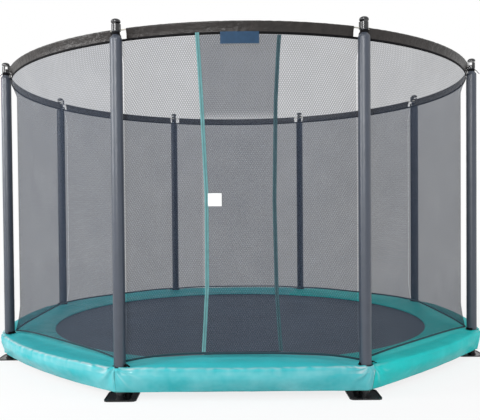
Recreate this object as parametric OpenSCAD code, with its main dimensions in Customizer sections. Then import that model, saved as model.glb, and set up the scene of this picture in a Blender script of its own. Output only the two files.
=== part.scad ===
// Low round trampoline inside an eight-pole safety enclosure.
// Millimetres. The origin is the centre of the round on the ground, +Z is up
// and the doorway in the net faces -Y.

/* [Frame] */
// Radius of the frame ring's centreline
frame_r = 1810; // [1800:1:1815]
// Diameter of the frame ring's tube
frame_tube_d = 42; // [38:1:42]
// Height of the frame ring's centreline above the ground
frame_z = 150; // [145:1:155]
// Wall of every steel tube
tube_wall = 1.5; // [1.2:0.1:2]

/* [Mat and springs] */
// Radius of the jumping mat
mat_r = 1620; // [1615:1:1622]
// Springs along each eighth of the ring
springs_per_side = 9; // [5:1:9]
// Outside diameter of a spring
spring_d = 23; // [18:1:24]
// Wire diameter of a spring
spring_wire = 3.6; // [3:0.2:3.8]

/* [Spring pad] */
// Inner radius of the pad, which is the edge of the free mat
pad_inner_r = 1545; // [1530:5:1560]
// Height of the pad's top above the ground
pad_top = 199; // [198:1:201]
// Height of the skirt's hem above the ground
hem_z = 45; // [30:5:60]
// Thickness of the skirt's fabric
skirt_t = 3; // [2:0.5:4]

/* [Poles] */
// Radius of the circle through the poles' axes
pole_circle_r = 1890; // [1888:1:1892]
// Diameter of a pole's steel tube
pole_d = 38; // [36:1:38]
// Diameter of a pole's padded sleeve
sleeve_d = 72; // [68:1:72]
// Height of the top of a pole's tube
pole_top = 2165; // [2100:5:2200]

/* [Feet] */
// Side of a square foot plate
plate_w = 190; // [180:5:200]
// Distance between the anchor holes along a side of the plate
anchor_pitch = 124; // [116:2:128]
// Diameter of an anchor hole
anchor_hole_d = 16; // [10:1:18]

/* [Net] */
// Thickness of the net's cloth
net_t = 2; // [1:0.5:3]
// Radius of the rod ring that spreads the net
rod_ring_r = 1862; // [1861:0.5:1863]
// Diameter of the fibreglass rods
rod_d = 8; // [6:1:8]
// Free space between the net and a pole's sleeve halfway up
net_gap = 39; // [20:1:60]

/* [Hidden] */
$fn = 48;

// The ring has eight sides, numbered from the front round to the right, and
// eight corners. Corner c lies between side c and side c + 1.
sides = 8;
side_step = 360 / sides;
half_side = side_step / 2;
FRONT = 0;
function side_turn(s) = side_step * s - 90;
function corner_turn(c) = side_turn(c) + half_side;
module at_side(s) rotate([0, 0, side_turn(s)]) children();
module at_each_side() for (s = [0 : sides - 1]) at_side(s) children();
module at_corner(c) rotate([0, 0, corner_turn(c)]) translate([pole_circle_r, 0, 0]) children();
module at_each_corner() for (c = [0 : sides - 1]) at_corner(c) children();

// Fits
slip = 0.2;        // radial room of a tube in its socket
face_gap = 0.3;    // room between two pieces that only meet

// Feet and legs
plate_r = pole_circle_r - 25;
plate_t = 5;
plate_corner_r = 26;
plate_rim_w = 7;
plate_rim_h = 3;
socket_h = 40;
socket_wall = 5;
socket_r = pole_d / 2 + socket_wall;
flange_w = 6;
flange_h = 6;
weld = 1;
leg_offset = frame_r - pole_circle_r;
joint_r = frame_tube_d / 2 + 3;
joint_reach = 1.9;
bracket_z = 75;
bracket_h = 30;
bracket_wall = 6;
bolt_r = 4;
bolt_z = bracket_z + bracket_h / 2;
bolt_half = 22;
bolt_hex_r = 7.5;
bolt_hex_h = 6;

// Springs: the hook at the mat closes round a ring's apex, and the hook at
// the frame arches over the tube and drops through a hole in its top
spring_pitch = 5;
spring_z = frame_z;
ring_wire = 5;
ring_apex_r = 7;
ring_apex_x = mat_r + 18;
ring_splay = 19;
ring_leg = 30;
ring_bend_r = 5;
mat_t = 3;
mat_band_w = 40;
mat_band_t = 6;
mat_hook_r = 5;
mat_hook_x = ring_apex_x + ring_apex_r;
coil_start = mat_hook_x + 11;
coil_end = frame_r - 34;
coil_taper = 14;
frame_hook_r = 13;
frame_hook_x = frame_r - frame_tube_d / 2;
frame_hook_z = frame_z + 11;
hook_hole_x = frame_r - 9.5;
hook_hole_r = 5;

// Poles, sleeves and caps, measured from the pole's axis with +X outwards
pole_joint_z = 1150;
pole_plug = 80;
sleeve_foot = 166;
sleeve_bore_r = pole_d / 2 + 0.4;
neck_r = sleeve_bore_r + 2.2;
neck_top = pole_top - 16;
shoulder_z = neck_top - 43;
seam_w = 34;
seam_t = 1.2;
// Direction of each sleeve's closing seam from the pole, by corner
seam_turns = [115, 145, 160, 180, 180, 200, 215, 245];
seam_foot = pad_top + 8;
// The strip reaches the shoulder where it clears the ring's binding
function seam_top(c) = abs(seam_turns[c] - 180) > 45 ? shoulder_z - 2 : binding_z - 12;
cap_skirt_r = pole_d / 2 + 4;
cap_flange_r = cap_skirt_r + 3;
cap_z = neck_top + 1;
cap_post_top = pole_top + 26;
cap_head_z = pole_top + 35;
cap_head_r = 28;
cap_head_h = 24;
rod_x = rod_ring_r - pole_circle_r;
rod_z = pole_top - 1;
rod_bore_r = rod_d / 2 + 1.2;

// Net ring: a fabric tunnel on the rods, and a binding along its lower edge
tunnel_r = 8;
tunnel_t = 1.4;
binding_r = pole_circle_r - sleeve_d / 2 - 3;
binding_t = 3.5;
binding_h = 14;
binding_z = rod_z - 65;
sleeve_fall = binding_r - rod_ring_r;
sleeve_hem_z = binding_z + binding_h - rod_z + face_gap;
sleeve_cut_top = 54;
sleeve_cut_foot = 48;
ferrule_half = 0.9;

// Pad: fold_roundness is 0 where a side's fold runs straight from corner to
// corner and 1 where it follows a circle; hem_roundness is the same for the hem
fold_corner_r = pole_circle_r + sleeve_d / 2 + 19;
hem_corner_r = pole_circle_r + sleeve_d / 2 + 2;
fold_roundness = [0.36, 0.5, 0.55, 0.5, 0.36, 0.6, 0.55, 0.82];
hem_roundness = [0, 0.2, 0.3, 0.25, 0, 0.3, 0.3, 0.45];
corner_ease = 0.86;
corner_trim = 10;
pad_cut_r = sleeve_d / 2 + 4;
seam_shift = 1.3;
pad_seam_gap = 0.02;
// The crown is pressed down at the poles, between two angles from the middle of
// a side, and the front pad bulges under the doorway
pole_sag = 12;
sag_from = 14;
sag_to = 20.4;
front_bulge = 44;
trim_z = pad_top - pole_sag + 1.5;

// Net: it is drawn out to the pole at the bottom and to the rod ring at the
// top, and hangs straight in between
net_mid_r = pole_circle_r - sleeve_d / 2 - net_gap;
net_foot_r = pole_circle_r - sleeve_d / 2 - 8;
net_top = binding_z - 1;
net_top_r = binding_r;
net_foot_z = trim_z + 11.5;
net_hem_h = 14;
net_hem_t = 4;
net_lap = 7;
door_edge_w = 17;
door_edge_t = 4;
door_seam = 0.31;
net_cols = 8;

// ---- Shared shapes ----

// Closed sheet between two grids of points, each a list of rows
module sheet(outer, inner) {
    rows = len(outer);
    cols = len(outer[0]);
    count = rows * cols;
    points = concat([for (row = outer) each row], [for (row = inner) each row]);
    function at(i, j) = i * cols + j;
    function quad(a, b, c, d) = [[a, b, c], [a, c, d]];
    faces = concat(
        [for (i = [0 : rows - 2], j = [0 : cols - 2])
            each quad(at(i, j), at(i, j + 1), at(i + 1, j + 1), at(i + 1, j))],
        [for (i = [0 : rows - 2], j = [0 : cols - 2])
            each quad(count + at(i, j), count + at(i + 1, j), count + at(i + 1, j + 1), count + at(i, j + 1))],
        [for (i = [0 : rows - 2])
            each quad(at(i, 0), at(i + 1, 0), count + at(i + 1, 0), count + at(i, 0))],
        [for (i = [0 : rows - 2])
            each quad(at(i + 1, cols - 1), at(i, cols - 1), count + at(i, cols - 1), count + at(i + 1, cols - 1))],
        [for (j = [0 : cols - 2])
            each quad(at(0, j + 1), at(0, j), count + at(0, j), count + at(0, j + 1))],
        [for (j = [0 : cols - 2])
            each quad(at(rows - 1, j), at(rows - 1, j + 1), count + at(rows - 1, j + 1), count + at(rows - 1, j))]
    );
    polyhedron(points, faces);
}

// Point on a ring: radius, angle and height
function polar(r, a, z) = [r * cos(a), r * sin(a), z];

// Radius at an angle from the middle of a side, between a straight side
// (roundness 0) and a circle (roundness 1), both through the corner radius
function side_radius(corner_r, a, roundness) =
    corner_r * ((1 - roundness) * cos(half_side) / cos(a) + roundness);

// Bar on an arc about the ring's axis, with the shape of its 2D child. The
// steps along the arc are fine because the arc is long.
module arc_bar(r, half_angle)
    rotate_extrude(angle = 2 * half_angle, start = -half_angle, $fn = 240)
        translate([r, 0]) let ($fn = 32) children();

module tube(r_out, r_in, z0, z1) translate([0, 0, z0]) difference() {
    cylinder(r = r_out, h = z1 - z0);
    translate([0, 0, -1]) cylinder(r = r_in, h = z1 - z0 + 2);
}

// ---- Feet, legs and frame ----

module rounded_square(w, r) {
    square([w, w - 2 * r], center = true);
    square([w - 2 * r, w], center = true);
    for (x = [-1, 1], y = [-1, 1]) translate([x * (w / 2 - r), y * (w / 2 - r)]) circle(r = r);
}

module foot_plate() {
    difference() {
        union() {
            linear_extrude(plate_t) rounded_square(plate_w, plate_corner_r);
            translate([0, 0, plate_t]) linear_extrude(plate_rim_h) difference() {
                rounded_square(plate_w, plate_corner_r);
                rounded_square(plate_w - 2 * plate_rim_w, plate_corner_r - plate_rim_w);
            }
        }
        for (x = [-1, 1], y = [-1, 1])
            translate([x * anchor_pitch / 2, y * anchor_pitch / 2, -1])
                cylinder(d = anchor_hole_d, h = plate_t + 2);
    }
}

// Socket welded to the plate, so it starts a little below the plate's face
module foot_socket(r) {
    tube(r, r - socket_wall + slip, plate_t - weld, plate_t + socket_h);
    tube(r + flange_w, r - 1, plate_t - weld, plate_t + flange_h);
}

// Pressed plates that stand square to one another, with a socket for the
// pole and one for the frame's leg
module foot_plates() color("#1b1d1e") for (c = [0 : sides - 1]) {
    translate(polar(plate_r, corner_turn(c), 0)) foot_plate();
    at_corner(c) foot_socket(socket_r);
    at_corner(c) translate([leg_offset, 0, 0]) foot_socket(socket_r);
}

// Tee that joins two frame sections over a short leg
module leg_joints() color("#5d6468") at_each_corner() translate([leg_offset, 0, 0]) {
    difference() {
        union() {
            translate([-frame_r, 0, frame_z]) arc_bar(frame_r, joint_reach) circle(r = joint_r);
            translate([0, 0, plate_t + slip]) cylinder(d = pole_d, h = frame_z - plate_t);
        }
        translate([-frame_r, 0, frame_z]) arc_bar(frame_r, joint_reach + 1) circle(r = frame_tube_d / 2 + slip);
        translate([0, 0, plate_t]) cylinder(r = pole_d / 2 - tube_wall, h = frame_z - joint_r - plate_t);
    }
}

// Clamp that ties the pole to the leg
module pole_brackets() color("#3a3f43") at_each_corner() difference() {
    union() {
        for (x = [0, leg_offset]) translate([x, 0, bracket_z]) cylinder(r = pole_d / 2 + bracket_wall, h = bracket_h);
        translate([leg_offset, -bolt_half + 7, bracket_z]) cube([-leg_offset, 2 * bolt_half - 14, bracket_h]);
    }
    for (x = [0, leg_offset])
        translate([x, 0, bracket_z - 1]) cylinder(r = pole_d / 2 + slip, h = bracket_h + 2);
    translate([leg_offset / 2, 0, bolt_z]) rotate([90, 0, 0])
        cylinder(r = bolt_r + slip, h = 4 * bolt_half, center = true);
}

module bracket_bolts() color("#a9adb0") at_each_corner()
    translate([leg_offset / 2, 0, bolt_z]) rotate([90, 0, 0]) {
        cylinder(r = bolt_r, h = 2 * bolt_half, center = true);
        for (side = [-1, 1])
            translate([0, 0, side * (bolt_half - bolt_hex_h / 2)])
                cylinder(r = bolt_hex_r, h = bolt_hex_h, $fn = 6, center = true);
    }

function spring_turns() = [for (i = [0 : springs_per_side - 1]) (i - (springs_per_side - 1) / 2) * spring_pitch];

// One eighth of the frame ring, drilled for the springs' hooks
module frame_section(s) color("#8d9396") at_side(s) difference() {
    translate([0, 0, frame_z]) arc_bar(frame_r, half_side - pad_seam_gap) difference() {
        circle(d = frame_tube_d);
        circle(r = frame_tube_d / 2 - tube_wall);
    }
    for (a = spring_turns())
        rotate([0, 0, a]) translate([hook_hole_x, 0, frame_z]) cylinder(r = hook_hole_r, h = frame_tube_d);
}

// ---- Mat and springs ----

module mat() color("#1d2024") rotate_extrude() translate([0, frame_z]) {
    translate([0, -mat_t / 2]) square([mat_r, mat_t]);
    translate([mat_r - mat_band_w, -mat_band_t / 2]) square([mat_band_w, mat_band_t]);
}

// Three-sided wire ring, sewn into the mat's edge band, its apex outwards.
// The straights are drawn a little thinner where they run into the bends.
module ring_bend(r, from, to) rotate_extrude(angle = to - from, start = from)
    translate([r, 0]) circle(d = ring_wire);
module mat_ring() translate([ring_apex_x, 0, 0]) {
    bend_x = (ring_apex_r - ring_bend_r) * sin(ring_splay) - ring_leg * cos(ring_splay);
    bend_y = (ring_apex_r - ring_bend_r) * cos(ring_splay) + ring_leg * sin(ring_splay);
    turn = 90 - ring_splay;
    ring_bend(ring_apex_r, -turn, turn);
    translate([bend_x, bend_y]) ring_bend(ring_bend_r, turn, 180);
    translate([bend_x, -bend_y]) ring_bend(ring_bend_r, 180, 360 - turn);
    for (side = [-1, 1])
        translate(polar(ring_apex_r, side * turn, 0)) rotate([0, 0, side * (turn + 90)]) rotate([0, 90, 0])
            translate([0, 0, -0.5]) cylinder(d = ring_wire - 0.2, h = ring_leg + 1);
    translate([bend_x - ring_bend_r, 0, 0]) rotate([90, 0, 0])
        cylinder(d = ring_wire - 0.2, h = 2 * bend_y + 1, center = true);
}

module mat_rings() color("#9aa0a4") at_each_side() for (a = spring_turns())
    rotate([0, 0, a]) translate([0, 0, frame_z]) mat_ring();

module hook(x, z, r, from, to) translate([x, 0, z]) rotate([90, 0, 0])
    rotate_extrude(angle = to - from, start = from) translate([r, 0]) circle(d = spring_wire);

module wire_x(x0, x1) translate([x0, 0, spring_z]) rotate([0, 90, 0]) cylinder(d = spring_wire, h = x1 - x0);

// Close-wound extension spring: a barrel with drawn-in ends and two hooks
module spring() {
    translate([0, 0, spring_z]) rotate([0, 90, 0]) rotate_extrude() polygon([
        [0, coil_start], [5, coil_start], [spring_d / 2, coil_start + coil_taper],
        [spring_d / 2, coil_end - coil_taper], [5, coil_end], [0, coil_end]
    ]);
    wire_x(mat_hook_x + mat_hook_r, coil_start + 2);
    hook(mat_hook_x, spring_z, mat_hook_r, 0, 260);
    wire_x(coil_end - 2, coil_end + 5);
    hook(frame_hook_x, frame_hook_z, frame_hook_r, -20, 222);
}

module springs() color("#c3c8cb") at_each_side() for (a = spring_turns()) rotate([0, 0, a]) spring();

// ---- Spring pad ----

// Angles across a side, closer together towards its two ends, and one at each
// corner that the pad goes round
pad_steps = [-half_side, -sag_to, -18.5, -14, -9.5, -4.8, 0, 4.8, 9.5, 14, 18.5, sag_to, half_side];
function pad_angles(a0, a1) = concat([a0], [for (a = pad_steps) if (a > a0 && a < a1) a], [a1]);

// The fold and the hem turn a soft corner at each pole
function corner_drop(a) = corner_trim * pow(max(0, abs(a) / half_side - corner_ease) / (1 - corner_ease), 2);
function near_side(a) = abs(a) > half_side ? side_step - abs(a) : a;
function fold_radius(s, a) = side_radius(fold_corner_r + corner_trim, near_side(a), fold_roundness[s])
    - corner_drop(near_side(a));
function hem_radius(s, a) = side_radius(hem_corner_r, near_side(a), hem_roundness[s]);

function sag(a) = pole_sag * pow(max(0, min(1, (abs(near_side(a)) - sag_from) / (sag_to - sag_from))), 2);
function bulge(s, a) = s == FRONT ? front_bulge * (1 - pow(min(1, abs(a) / sag_to), 2)) : 0;

// Outside of the pad's section as radius and height, from the mat's edge over
// the crown and the fold, down the skirt to its hem
function pad_outside(fold, hem, sag, bulge) = [
    [pad_inner_r, 161 + bulge / 2], [pad_inner_r + 9, 171 + 0.7 * bulge], [pad_inner_r + 70, 179 + bulge],
    [pad_inner_r + 0.55 * (fold - pad_inner_r), 192.5 - sag / 2 + 0.6 * bulge],
    [fold - 80, pad_top - sag + 0.4 * bulge], [fold - 20, pad_top - sag], [fold - 5, pad_top - 5 - sag],
    [fold, pad_top - 17 - sag], [max(fold - 3, hem + 3), 128], [hem, hem_z]
];

// Underside: over the springs, the hooks and the frame, then up the skirt
function pad_inside(fold, hem, sag, bulge) = [
    [pad_inner_r + 3, 155.5 + bulge / 2], [pad_inner_r + 12, 155.5 + bulge / 2], [mat_r + 8, 158 + bulge / 2],
    [mat_r + 42, 169 + 0.4 * bulge], [frame_r - 55, 171 + 0.2 * bulge], [frame_r - 36, 177.5],
    [fold - 12, 177.5 - 0.7 * sag], [fold - skirt_t - 1, pad_top - 27 - sag],
    [max(fold - 3, hem + 3) - skirt_t, 126], [hem - skirt_t, hem_z]
];

function pad_rows(s, angles, outside) = [for (a = angles)
    let (fold = fold_radius(s, a), hem = hem_radius(s, a), sag = sag(a), bulge = bulge(s, a),
         section = outside ? pad_outside(fold, hem, sag, bulge) : pad_inside(fold, hem, sag, bulge))
    [for (p = section) polar(p[0], a, p[1])]];

// Ends of each pad, from the middle of its side. The front pad runs past both
// of its poles, and each other pad runs past one.
function pad_start(s) = s == FRONT ? -half_side - seam_shift : -half_side + seam_shift;
function pad_end(s) = s == sides - 1 ? half_side - seam_shift : half_side + seam_shift;

module pad(s) color("#2fbcc4") at_side(s) difference() {
    angles = pad_angles(pad_start(s) + pad_seam_gap, pad_end(s) - pad_seam_gap);
    sheet(pad_rows(s, angles, false), pad_rows(s, angles, true));
    for (side = [-1, 1]) rotate([0, 0, side * half_side]) translate([pole_circle_r, 0, pad_top - 60])
        cylinder(r = pad_cut_r, h = 80);
}

// Black binding that lines each pole's cut-out
module pad_trims() color("#121416") at_each_corner() {
    tube(pad_cut_r - face_gap, sleeve_d / 2 + 1, sleeve_foot, trim_z + 2.5);
    tube(pad_cut_r + 4, pad_cut_r - 1, trim_z, trim_z + 2.5);
}

// ---- Poles ----

module poles_lower() color("#6f7579") at_each_corner()
    tube(pole_d / 2, pole_d / 2 - tube_wall, plate_t + slip, pole_joint_z - slip);

module poles_upper() color("#6f7579") at_each_corner() rotate_extrude() {
    plug_r = pole_d / 2 - tube_wall - slip;
    translate([plug_r - tube_wall, pole_joint_z - pole_plug]) square([tube_wall, pole_plug + 2 * tube_wall]);
    translate([plug_r - tube_wall, pole_joint_z]) square([pole_d / 2 - plug_r + tube_wall, 2 * tube_wall]);
    translate([pole_d / 2 - tube_wall, pole_joint_z]) square([tube_wall, pole_top - pole_joint_z]);
}

// Foam sleeve, gathered round the tube at its top
module pole_sleeve(c) color("#6e7885") at_corner(c) rotate_extrude() polygon([
    [sleeve_bore_r, sleeve_foot], [sleeve_d / 2 - 1, sleeve_foot], [sleeve_d / 2, sleeve_foot + 4],
    [sleeve_d / 2, shoulder_z], [sleeve_d / 2 - 3, shoulder_z + 8], [neck_r + 3, shoulder_z + 15],
    [neck_r, shoulder_z + 21], [neck_r, neck_top], [sleeve_bore_r, neck_top]
]);

// Closing strip down the inner side of each sleeve
module sleeve_seams() color("#17191c") for (c = [0 : sides - 1]) at_corner(c)
    rotate([0, 0, seam_turns[c]]) translate([0, 0, seam_foot])
        arc_height(sleeve_d / 2 + face_gap, seam_t, seam_w, seam_top(c) - seam_foot);

// Upright strip bent round an axis: inner radius, thickness, width and height
module arc_height(r, t, w, h) {
    half = w / 2 / r * 180 / PI;
    rotate_extrude(angle = 2 * half, start = -half) translate([r, 0]) square([t, h]);
}

// Cap with a socket for the tube, a spine with the rod's bore on the inner
// side, a catch on the outer side and a domed head over both
module pole_caps() color("#141618") at_each_corner() difference() {
    union() {
        translate([0, 0, cap_z]) cylinder(r = cap_flange_r, h = 8);
        translate([0, 0, cap_z]) cylinder(r = cap_skirt_r, h = 22);
        rotate_extrude(angle = 150, start = -75) translate([cap_flange_r - 7, cap_z + 8]) square([7, cap_post_top - cap_z - 8]);
        translate([-38, -10, rod_z - 7]) cube([26, 20, cap_head_z - rod_z + 8]);
        translate([0, 0, cap_head_z]) cap_head();
    }
    translate([0, 0, cap_z - 1]) cylinder(r = pole_d / 2 + slip, h = pole_top - cap_z + 2);
    translate([rod_x, 0, rod_z]) rotate([90, 0, 0]) cylinder(r = rod_bore_r, h = 80, center = true);
}

module cap_head() rotate_extrude() polygon(concat(
    [[0, 0], [cap_head_r - 2, 0], [cap_head_r, 3], [cap_head_r, 8]],
    [for (a = [15 : 15 : 75]) [cap_head_r * cos(a), 8 + (cap_head_h - 8) * sin(a)]],
    [[0, cap_head_h]]));

// ---- Rod ring and its fabric ----

// Eight rods, each through one cap, that meet inside ferrules between poles
module ring_rods() color("#c9c6bd") for (c = [0 : sides - 1]) rotate([0, 0, corner_turn(c)])
    translate([0, 0, rod_z]) arc_bar(rod_ring_r, half_side - pad_seam_gap) circle(d = rod_d);

module rod_ferrules() color("#b4b8ba") at_each_side() translate([0, 0, rod_z])
    arc_bar(rod_ring_r, ferrule_half) difference() {
        circle(r = rod_d / 2 + 1.4);
        circle(r = rod_d / 2 + slip / 2);
    }

// Opening in the fabric at a pole, wider at the top than at the foot
module sleeve_cut() rotate([90, 0, 90]) translate([0, 0, rod_ring_r - 60]) linear_extrude(120) polygon([
    [-sleeve_cut_foot, binding_z + binding_h - 1], [sleeve_cut_foot, binding_z + binding_h - 1],
    [sleeve_cut_top, rod_z + 20], [-sleeve_cut_top, rod_z + 20]
]);

// Rod tunnel with a skirt of the same cloth down to the binding
module ring_sleeve() color("#3b3835") at_each_side() difference() {
    translate([0, 0, rod_z]) arc_bar(rod_ring_r, half_side) difference() {
        union() {
            circle(r = tunnel_r);
            polygon([
                [-tunnel_r + 1.6, -4.5], [tunnel_r - 1.6, -4.5],
                [sleeve_fall / 2 + 1.6, -24], [sleeve_fall + 1.5, sleeve_hem_z],
                [sleeve_fall - 1.5, sleeve_hem_z], [sleeve_fall / 2 - 1.6, -24]
            ]);
        }
        circle(r = tunnel_r - tunnel_t);
    }
    for (side = [-1, 1]) rotate([0, 0, side * half_side]) sleeve_cut();
}

module ring_binding() color("#0f1113") at_each_side() translate([0, 0, binding_z])
    arc_bar(binding_r, half_side - pad_seam_gap) translate([-binding_t / 2, 0]) square([binding_t, binding_h]);

// Webbing tie from the binding to the neck of each sleeve. On two poles its
// loose end lies over the sleeve's shoulder.
tie_w = 18;
tie_t = 2.5;
tie_in = binding_r - pole_circle_r - binding_t / 2 - tie_t - face_gap;
tie_r = neck_r + face_gap;
loose_end_corners = [1, 6];

module top_ties() color("#0c0d0f") for (c = [0 : sides - 1]) at_corner(c) {
    translate([tie_in, -tie_w / 2, net_top + 1.5]) cube([tie_t, tie_w, neck_top - 8 - net_top]);
    translate([tie_in, -tie_w / 2, neck_top - 12]) cube([-tie_in - tie_r - 0.5, tie_w, 2 * tie_t]);
    tube(tie_r + tie_t, tie_r, neck_top - 21, neck_top - 4);
    if (len(search(c, loose_end_corners)) > 0)
        translate([tie_r + tie_t / 2, -tie_w / 2, neck_top - 20]) rotate([0, 42, 0]) cube([42, tie_w, tie_t]);
}

// ---- Net ----

function net_corner_radius(z) = lookup(z, [
    [net_foot_z, net_foot_r], [net_foot_z + 90, net_mid_r + 12], [net_foot_z + 180, net_mid_r],
    [net_top - 120, net_mid_r], [net_top - 50, (net_mid_r + net_top_r) / 2], [net_top, net_top_r]
]);
function net_roundness(z) = lookup(z, [[net_foot_z, 0], [1000, 0.2], [1700, 0.55], [net_top, 1]]);
function net_radius(a, z) = side_radius(net_corner_radius(z), a, net_roundness(z));

// Height of the net's lower edge: close to the pad at the poles and lifted by
// its elastic between them, most of all at the doorway
net_lifts = [44, 12, 18, 20, 20, 20, 18, 22];
function net_foot(s, a) = net_foot_z + net_lifts[s] * (1 - pow(a / half_side, 4));

// Free edges of the doorway's two flaps, as distances from the middle of the
// front, and the angles at which they lie
function door_outer_x(z) = lookup(z, [[250, -210], [650, -186], [1200, -177], [1750, -205], [2100, -220]]);
function door_inner_x(z) = lookup(z, [[250, 257], [620, 236], [1160, 222], [1740, 229], [2100, 246]]);
function door_angle(x, z) = atan(x / net_radius(0, z));

// Each flap of the doorway stands off the other, as a signed distance. It runs
// in to its own pole at the side, and to the ring's binding at the top.
function lap_at(lap, a, z) = lap * min(1, (half_side - abs(a)) / 8, 0.3 + (net_top - z) / 60);

// Grid of points on the net between two edges, from its foot up
net_heights = [net_foot_z + 90, net_foot_z + 180, 700, 1000, 1350, 1700, net_top - 120, net_top - 50, net_top];
function net_row(s, lap, off, a_left, a_right, z_row) = [
    for (j = [0 : net_cols])
        let (a = a_left + j / net_cols * (a_right - a_left),
             z = max(z_row, net_foot(s, a) + net_hem_h + face_gap))
        polar(net_radius(a, z) + lap_at(lap, a, z) + off, a, z)
];

net_end = half_side - 0.06;
module net_panel(s, lap, a_left, a_right) color("#8a8d93", 0.6) at_side(s) {
    rows = concat([net_foot_z], net_heights);
    sheet([for (z = rows) net_row(s, lap, -net_t / 2, a_left(z), a_right(z), z)],
          [for (z = rows) net_row(s, lap, net_t / 2, a_left(z), a_right(z), z)]);
}
module net_side(s) net_panel(s, 0, function(z) -net_end, function(z) net_end);

// Flaps of the doorway: the outer one hangs from the right-hand pole, the
// inner one from the left-hand pole, and they pass each other in the middle
module net_front_outer()
    net_panel(FRONT, net_lap, function(z) door_angle(door_outer_x(z), z) + door_seam, function(z) net_end);
module net_front_inner()
    net_panel(FRONT, -net_lap, function(z) -net_end, function(z) door_angle(door_inner_x(z), z) - door_seam);

// Row of points across an upright strip on a flap, between two distances from
// the middle of the front
function strip_row(lap, off, x0, x1, z) =
    [for (x = [x0, x1]) let (a = door_angle(x, z)) polar(net_radius(a, z) + lap_at(lap, a, z) + off, a, z)];

// Bound edge of a flap, from above the hem to just below the ring's binding
door_edge_foot = net_foot_z + 60;
function edge_grid(lap, x_of, off) = [for (z = concat([door_edge_foot], net_heights))
    strip_row(lap, off, x_of(z) - door_edge_w / 2, x_of(z) + door_edge_w / 2, min(z, net_top - 1))];
module door_edge(lap, x_of) color("#3f9f99") at_side(FRONT)
    sheet(edge_grid(lap, x_of, -door_edge_t / 2), edge_grid(lap, x_of, door_edge_t / 2));
module door_edge_outer() door_edge(net_lap, function(z) door_outer_x(z));
module door_edge_inner() door_edge(-net_lap, function(z) door_inner_x(z));

// Elastic binding along the net's lower edge
function hem_row(s, lap, angles, off, up) = [for (a = angles) let (z = net_foot(s, a))
    polar(net_radius(a, z) + lap_at(lap, a, z) + off, a, z + up)];
module hem_strip(s, lap, a_left, a_right) at_side(s) {
    angles = [for (j = [0 : net_cols]) a_left + j / net_cols * (a_right - a_left)];
    half = net_hem_t / 2;
    sheet([hem_row(s, lap, angles, -half, 0), hem_row(s, lap, angles, -half, net_hem_h)],
          [hem_row(s, lap, angles, half, 0), hem_row(s, lap, angles, half, net_hem_h)]);
}
module net_hem() color("#101214") {
    for (s = [1 : sides - 1]) hem_strip(s, 0, -net_end, net_end);
    hem_strip(FRONT, net_lap, door_angle(door_outer_x(net_foot_z), net_foot_z), net_end);
    hem_strip(FRONT, -net_lap, -net_end, door_angle(door_inner_x(net_foot_z), net_foot_z));
}

// Elastic loop from the hem round the foot of each sleeve
bottom_tie_x = net_foot_r + net_hem_t / 2 + face_gap - pole_circle_r;
module bottom_ties() color("#0c0d0f") at_each_corner() {
    translate([0, 0, trim_z + 3]) rotate_extrude(angle = 200, start = 80)
        translate([sleeve_d / 2 + face_gap, 0]) square([2, 13]);
    translate([bottom_tie_x, -9, net_foot_z]) cube([-bottom_tie_x - sleeve_d / 2 - 1, 18, 4]);
}

// Plain blank label sewn to the outer flap's edge
tag_w = 80;
tag_h = 76;
tag_z = 1127;
tag_t = 1;
function tag_grid(off) = [for (z = [tag_z, tag_z + tag_h])
    strip_row(net_lap, off, door_outer_x(z) - 3, door_outer_x(z) - 3 + tag_w, z)];
module door_tag() color("#f2f2f0") at_side(FRONT)
    sheet(tag_grid(door_edge_t / 2 + face_gap), tag_grid(door_edge_t / 2 + face_gap + tag_t));

// Plain blue cloth patch that hangs from the ring over the doorway
patch_half = 3.4;
patch_turn = 0.8;
patch_h = 68;
patch_t = 1.6;
module front_patch() color("#1c4a74") at_side(FRONT) rotate([0, 0, patch_turn])
    translate([0, 0, binding_z + binding_h - patch_h])
        arc_bar(binding_r + binding_t / 2 + 2, patch_half) square([patch_t, patch_h]);

foot_plates();
leg_joints();
pole_brackets();
bracket_bolts();
frame_section(0);  // frame_front
frame_section(1);  // frame_front_right
frame_section(2);  // frame_right
frame_section(3);  // frame_back_right
frame_section(4);  // frame_back
frame_section(5);  // frame_back_left
frame_section(6);  // frame_left
frame_section(7);  // frame_front_left
mat();
mat_rings();
springs();
pad(0);  // pad_front
pad(1);  // pad_front_right
pad(2);  // pad_right
pad(3);  // pad_back_right
pad(4);  // pad_back
pad(5);  // pad_back_left
pad(6);  // pad_left
pad(7);  // pad_front_left
pad_trims();
poles_lower();
poles_upper();
pole_caps();
pole_sleeve(0);  // sleeve_0
pole_sleeve(1);  // sleeve_1
pole_sleeve(2);  // sleeve_2
pole_sleeve(3);  // sleeve_3
pole_sleeve(4);  // sleeve_4
pole_sleeve(5);  // sleeve_5
pole_sleeve(6);  // sleeve_6
pole_sleeve(7);  // sleeve_7
sleeve_seams();
ring_rods();
rod_ferrules();
ring_sleeve();
ring_binding();
top_ties();
net_front_inner();
net_front_outer();
net_side(1);  // net_front_right
net_side(2);  // net_right
net_side(3);  // net_back_right
net_side(4);  // net_back
net_side(5);  // net_back_left
net_side(6);  // net_left
net_side(7);  // net_front_left
net_hem();
bottom_ties();
door_edge_outer();
door_edge_inner();
door_tag();
front_patch();
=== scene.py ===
import math

import bmesh
import bpy
from bpy.props import FloatProperty, FloatVectorProperty, PointerProperty
from mathutils import Matrix, Vector, noise


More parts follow.
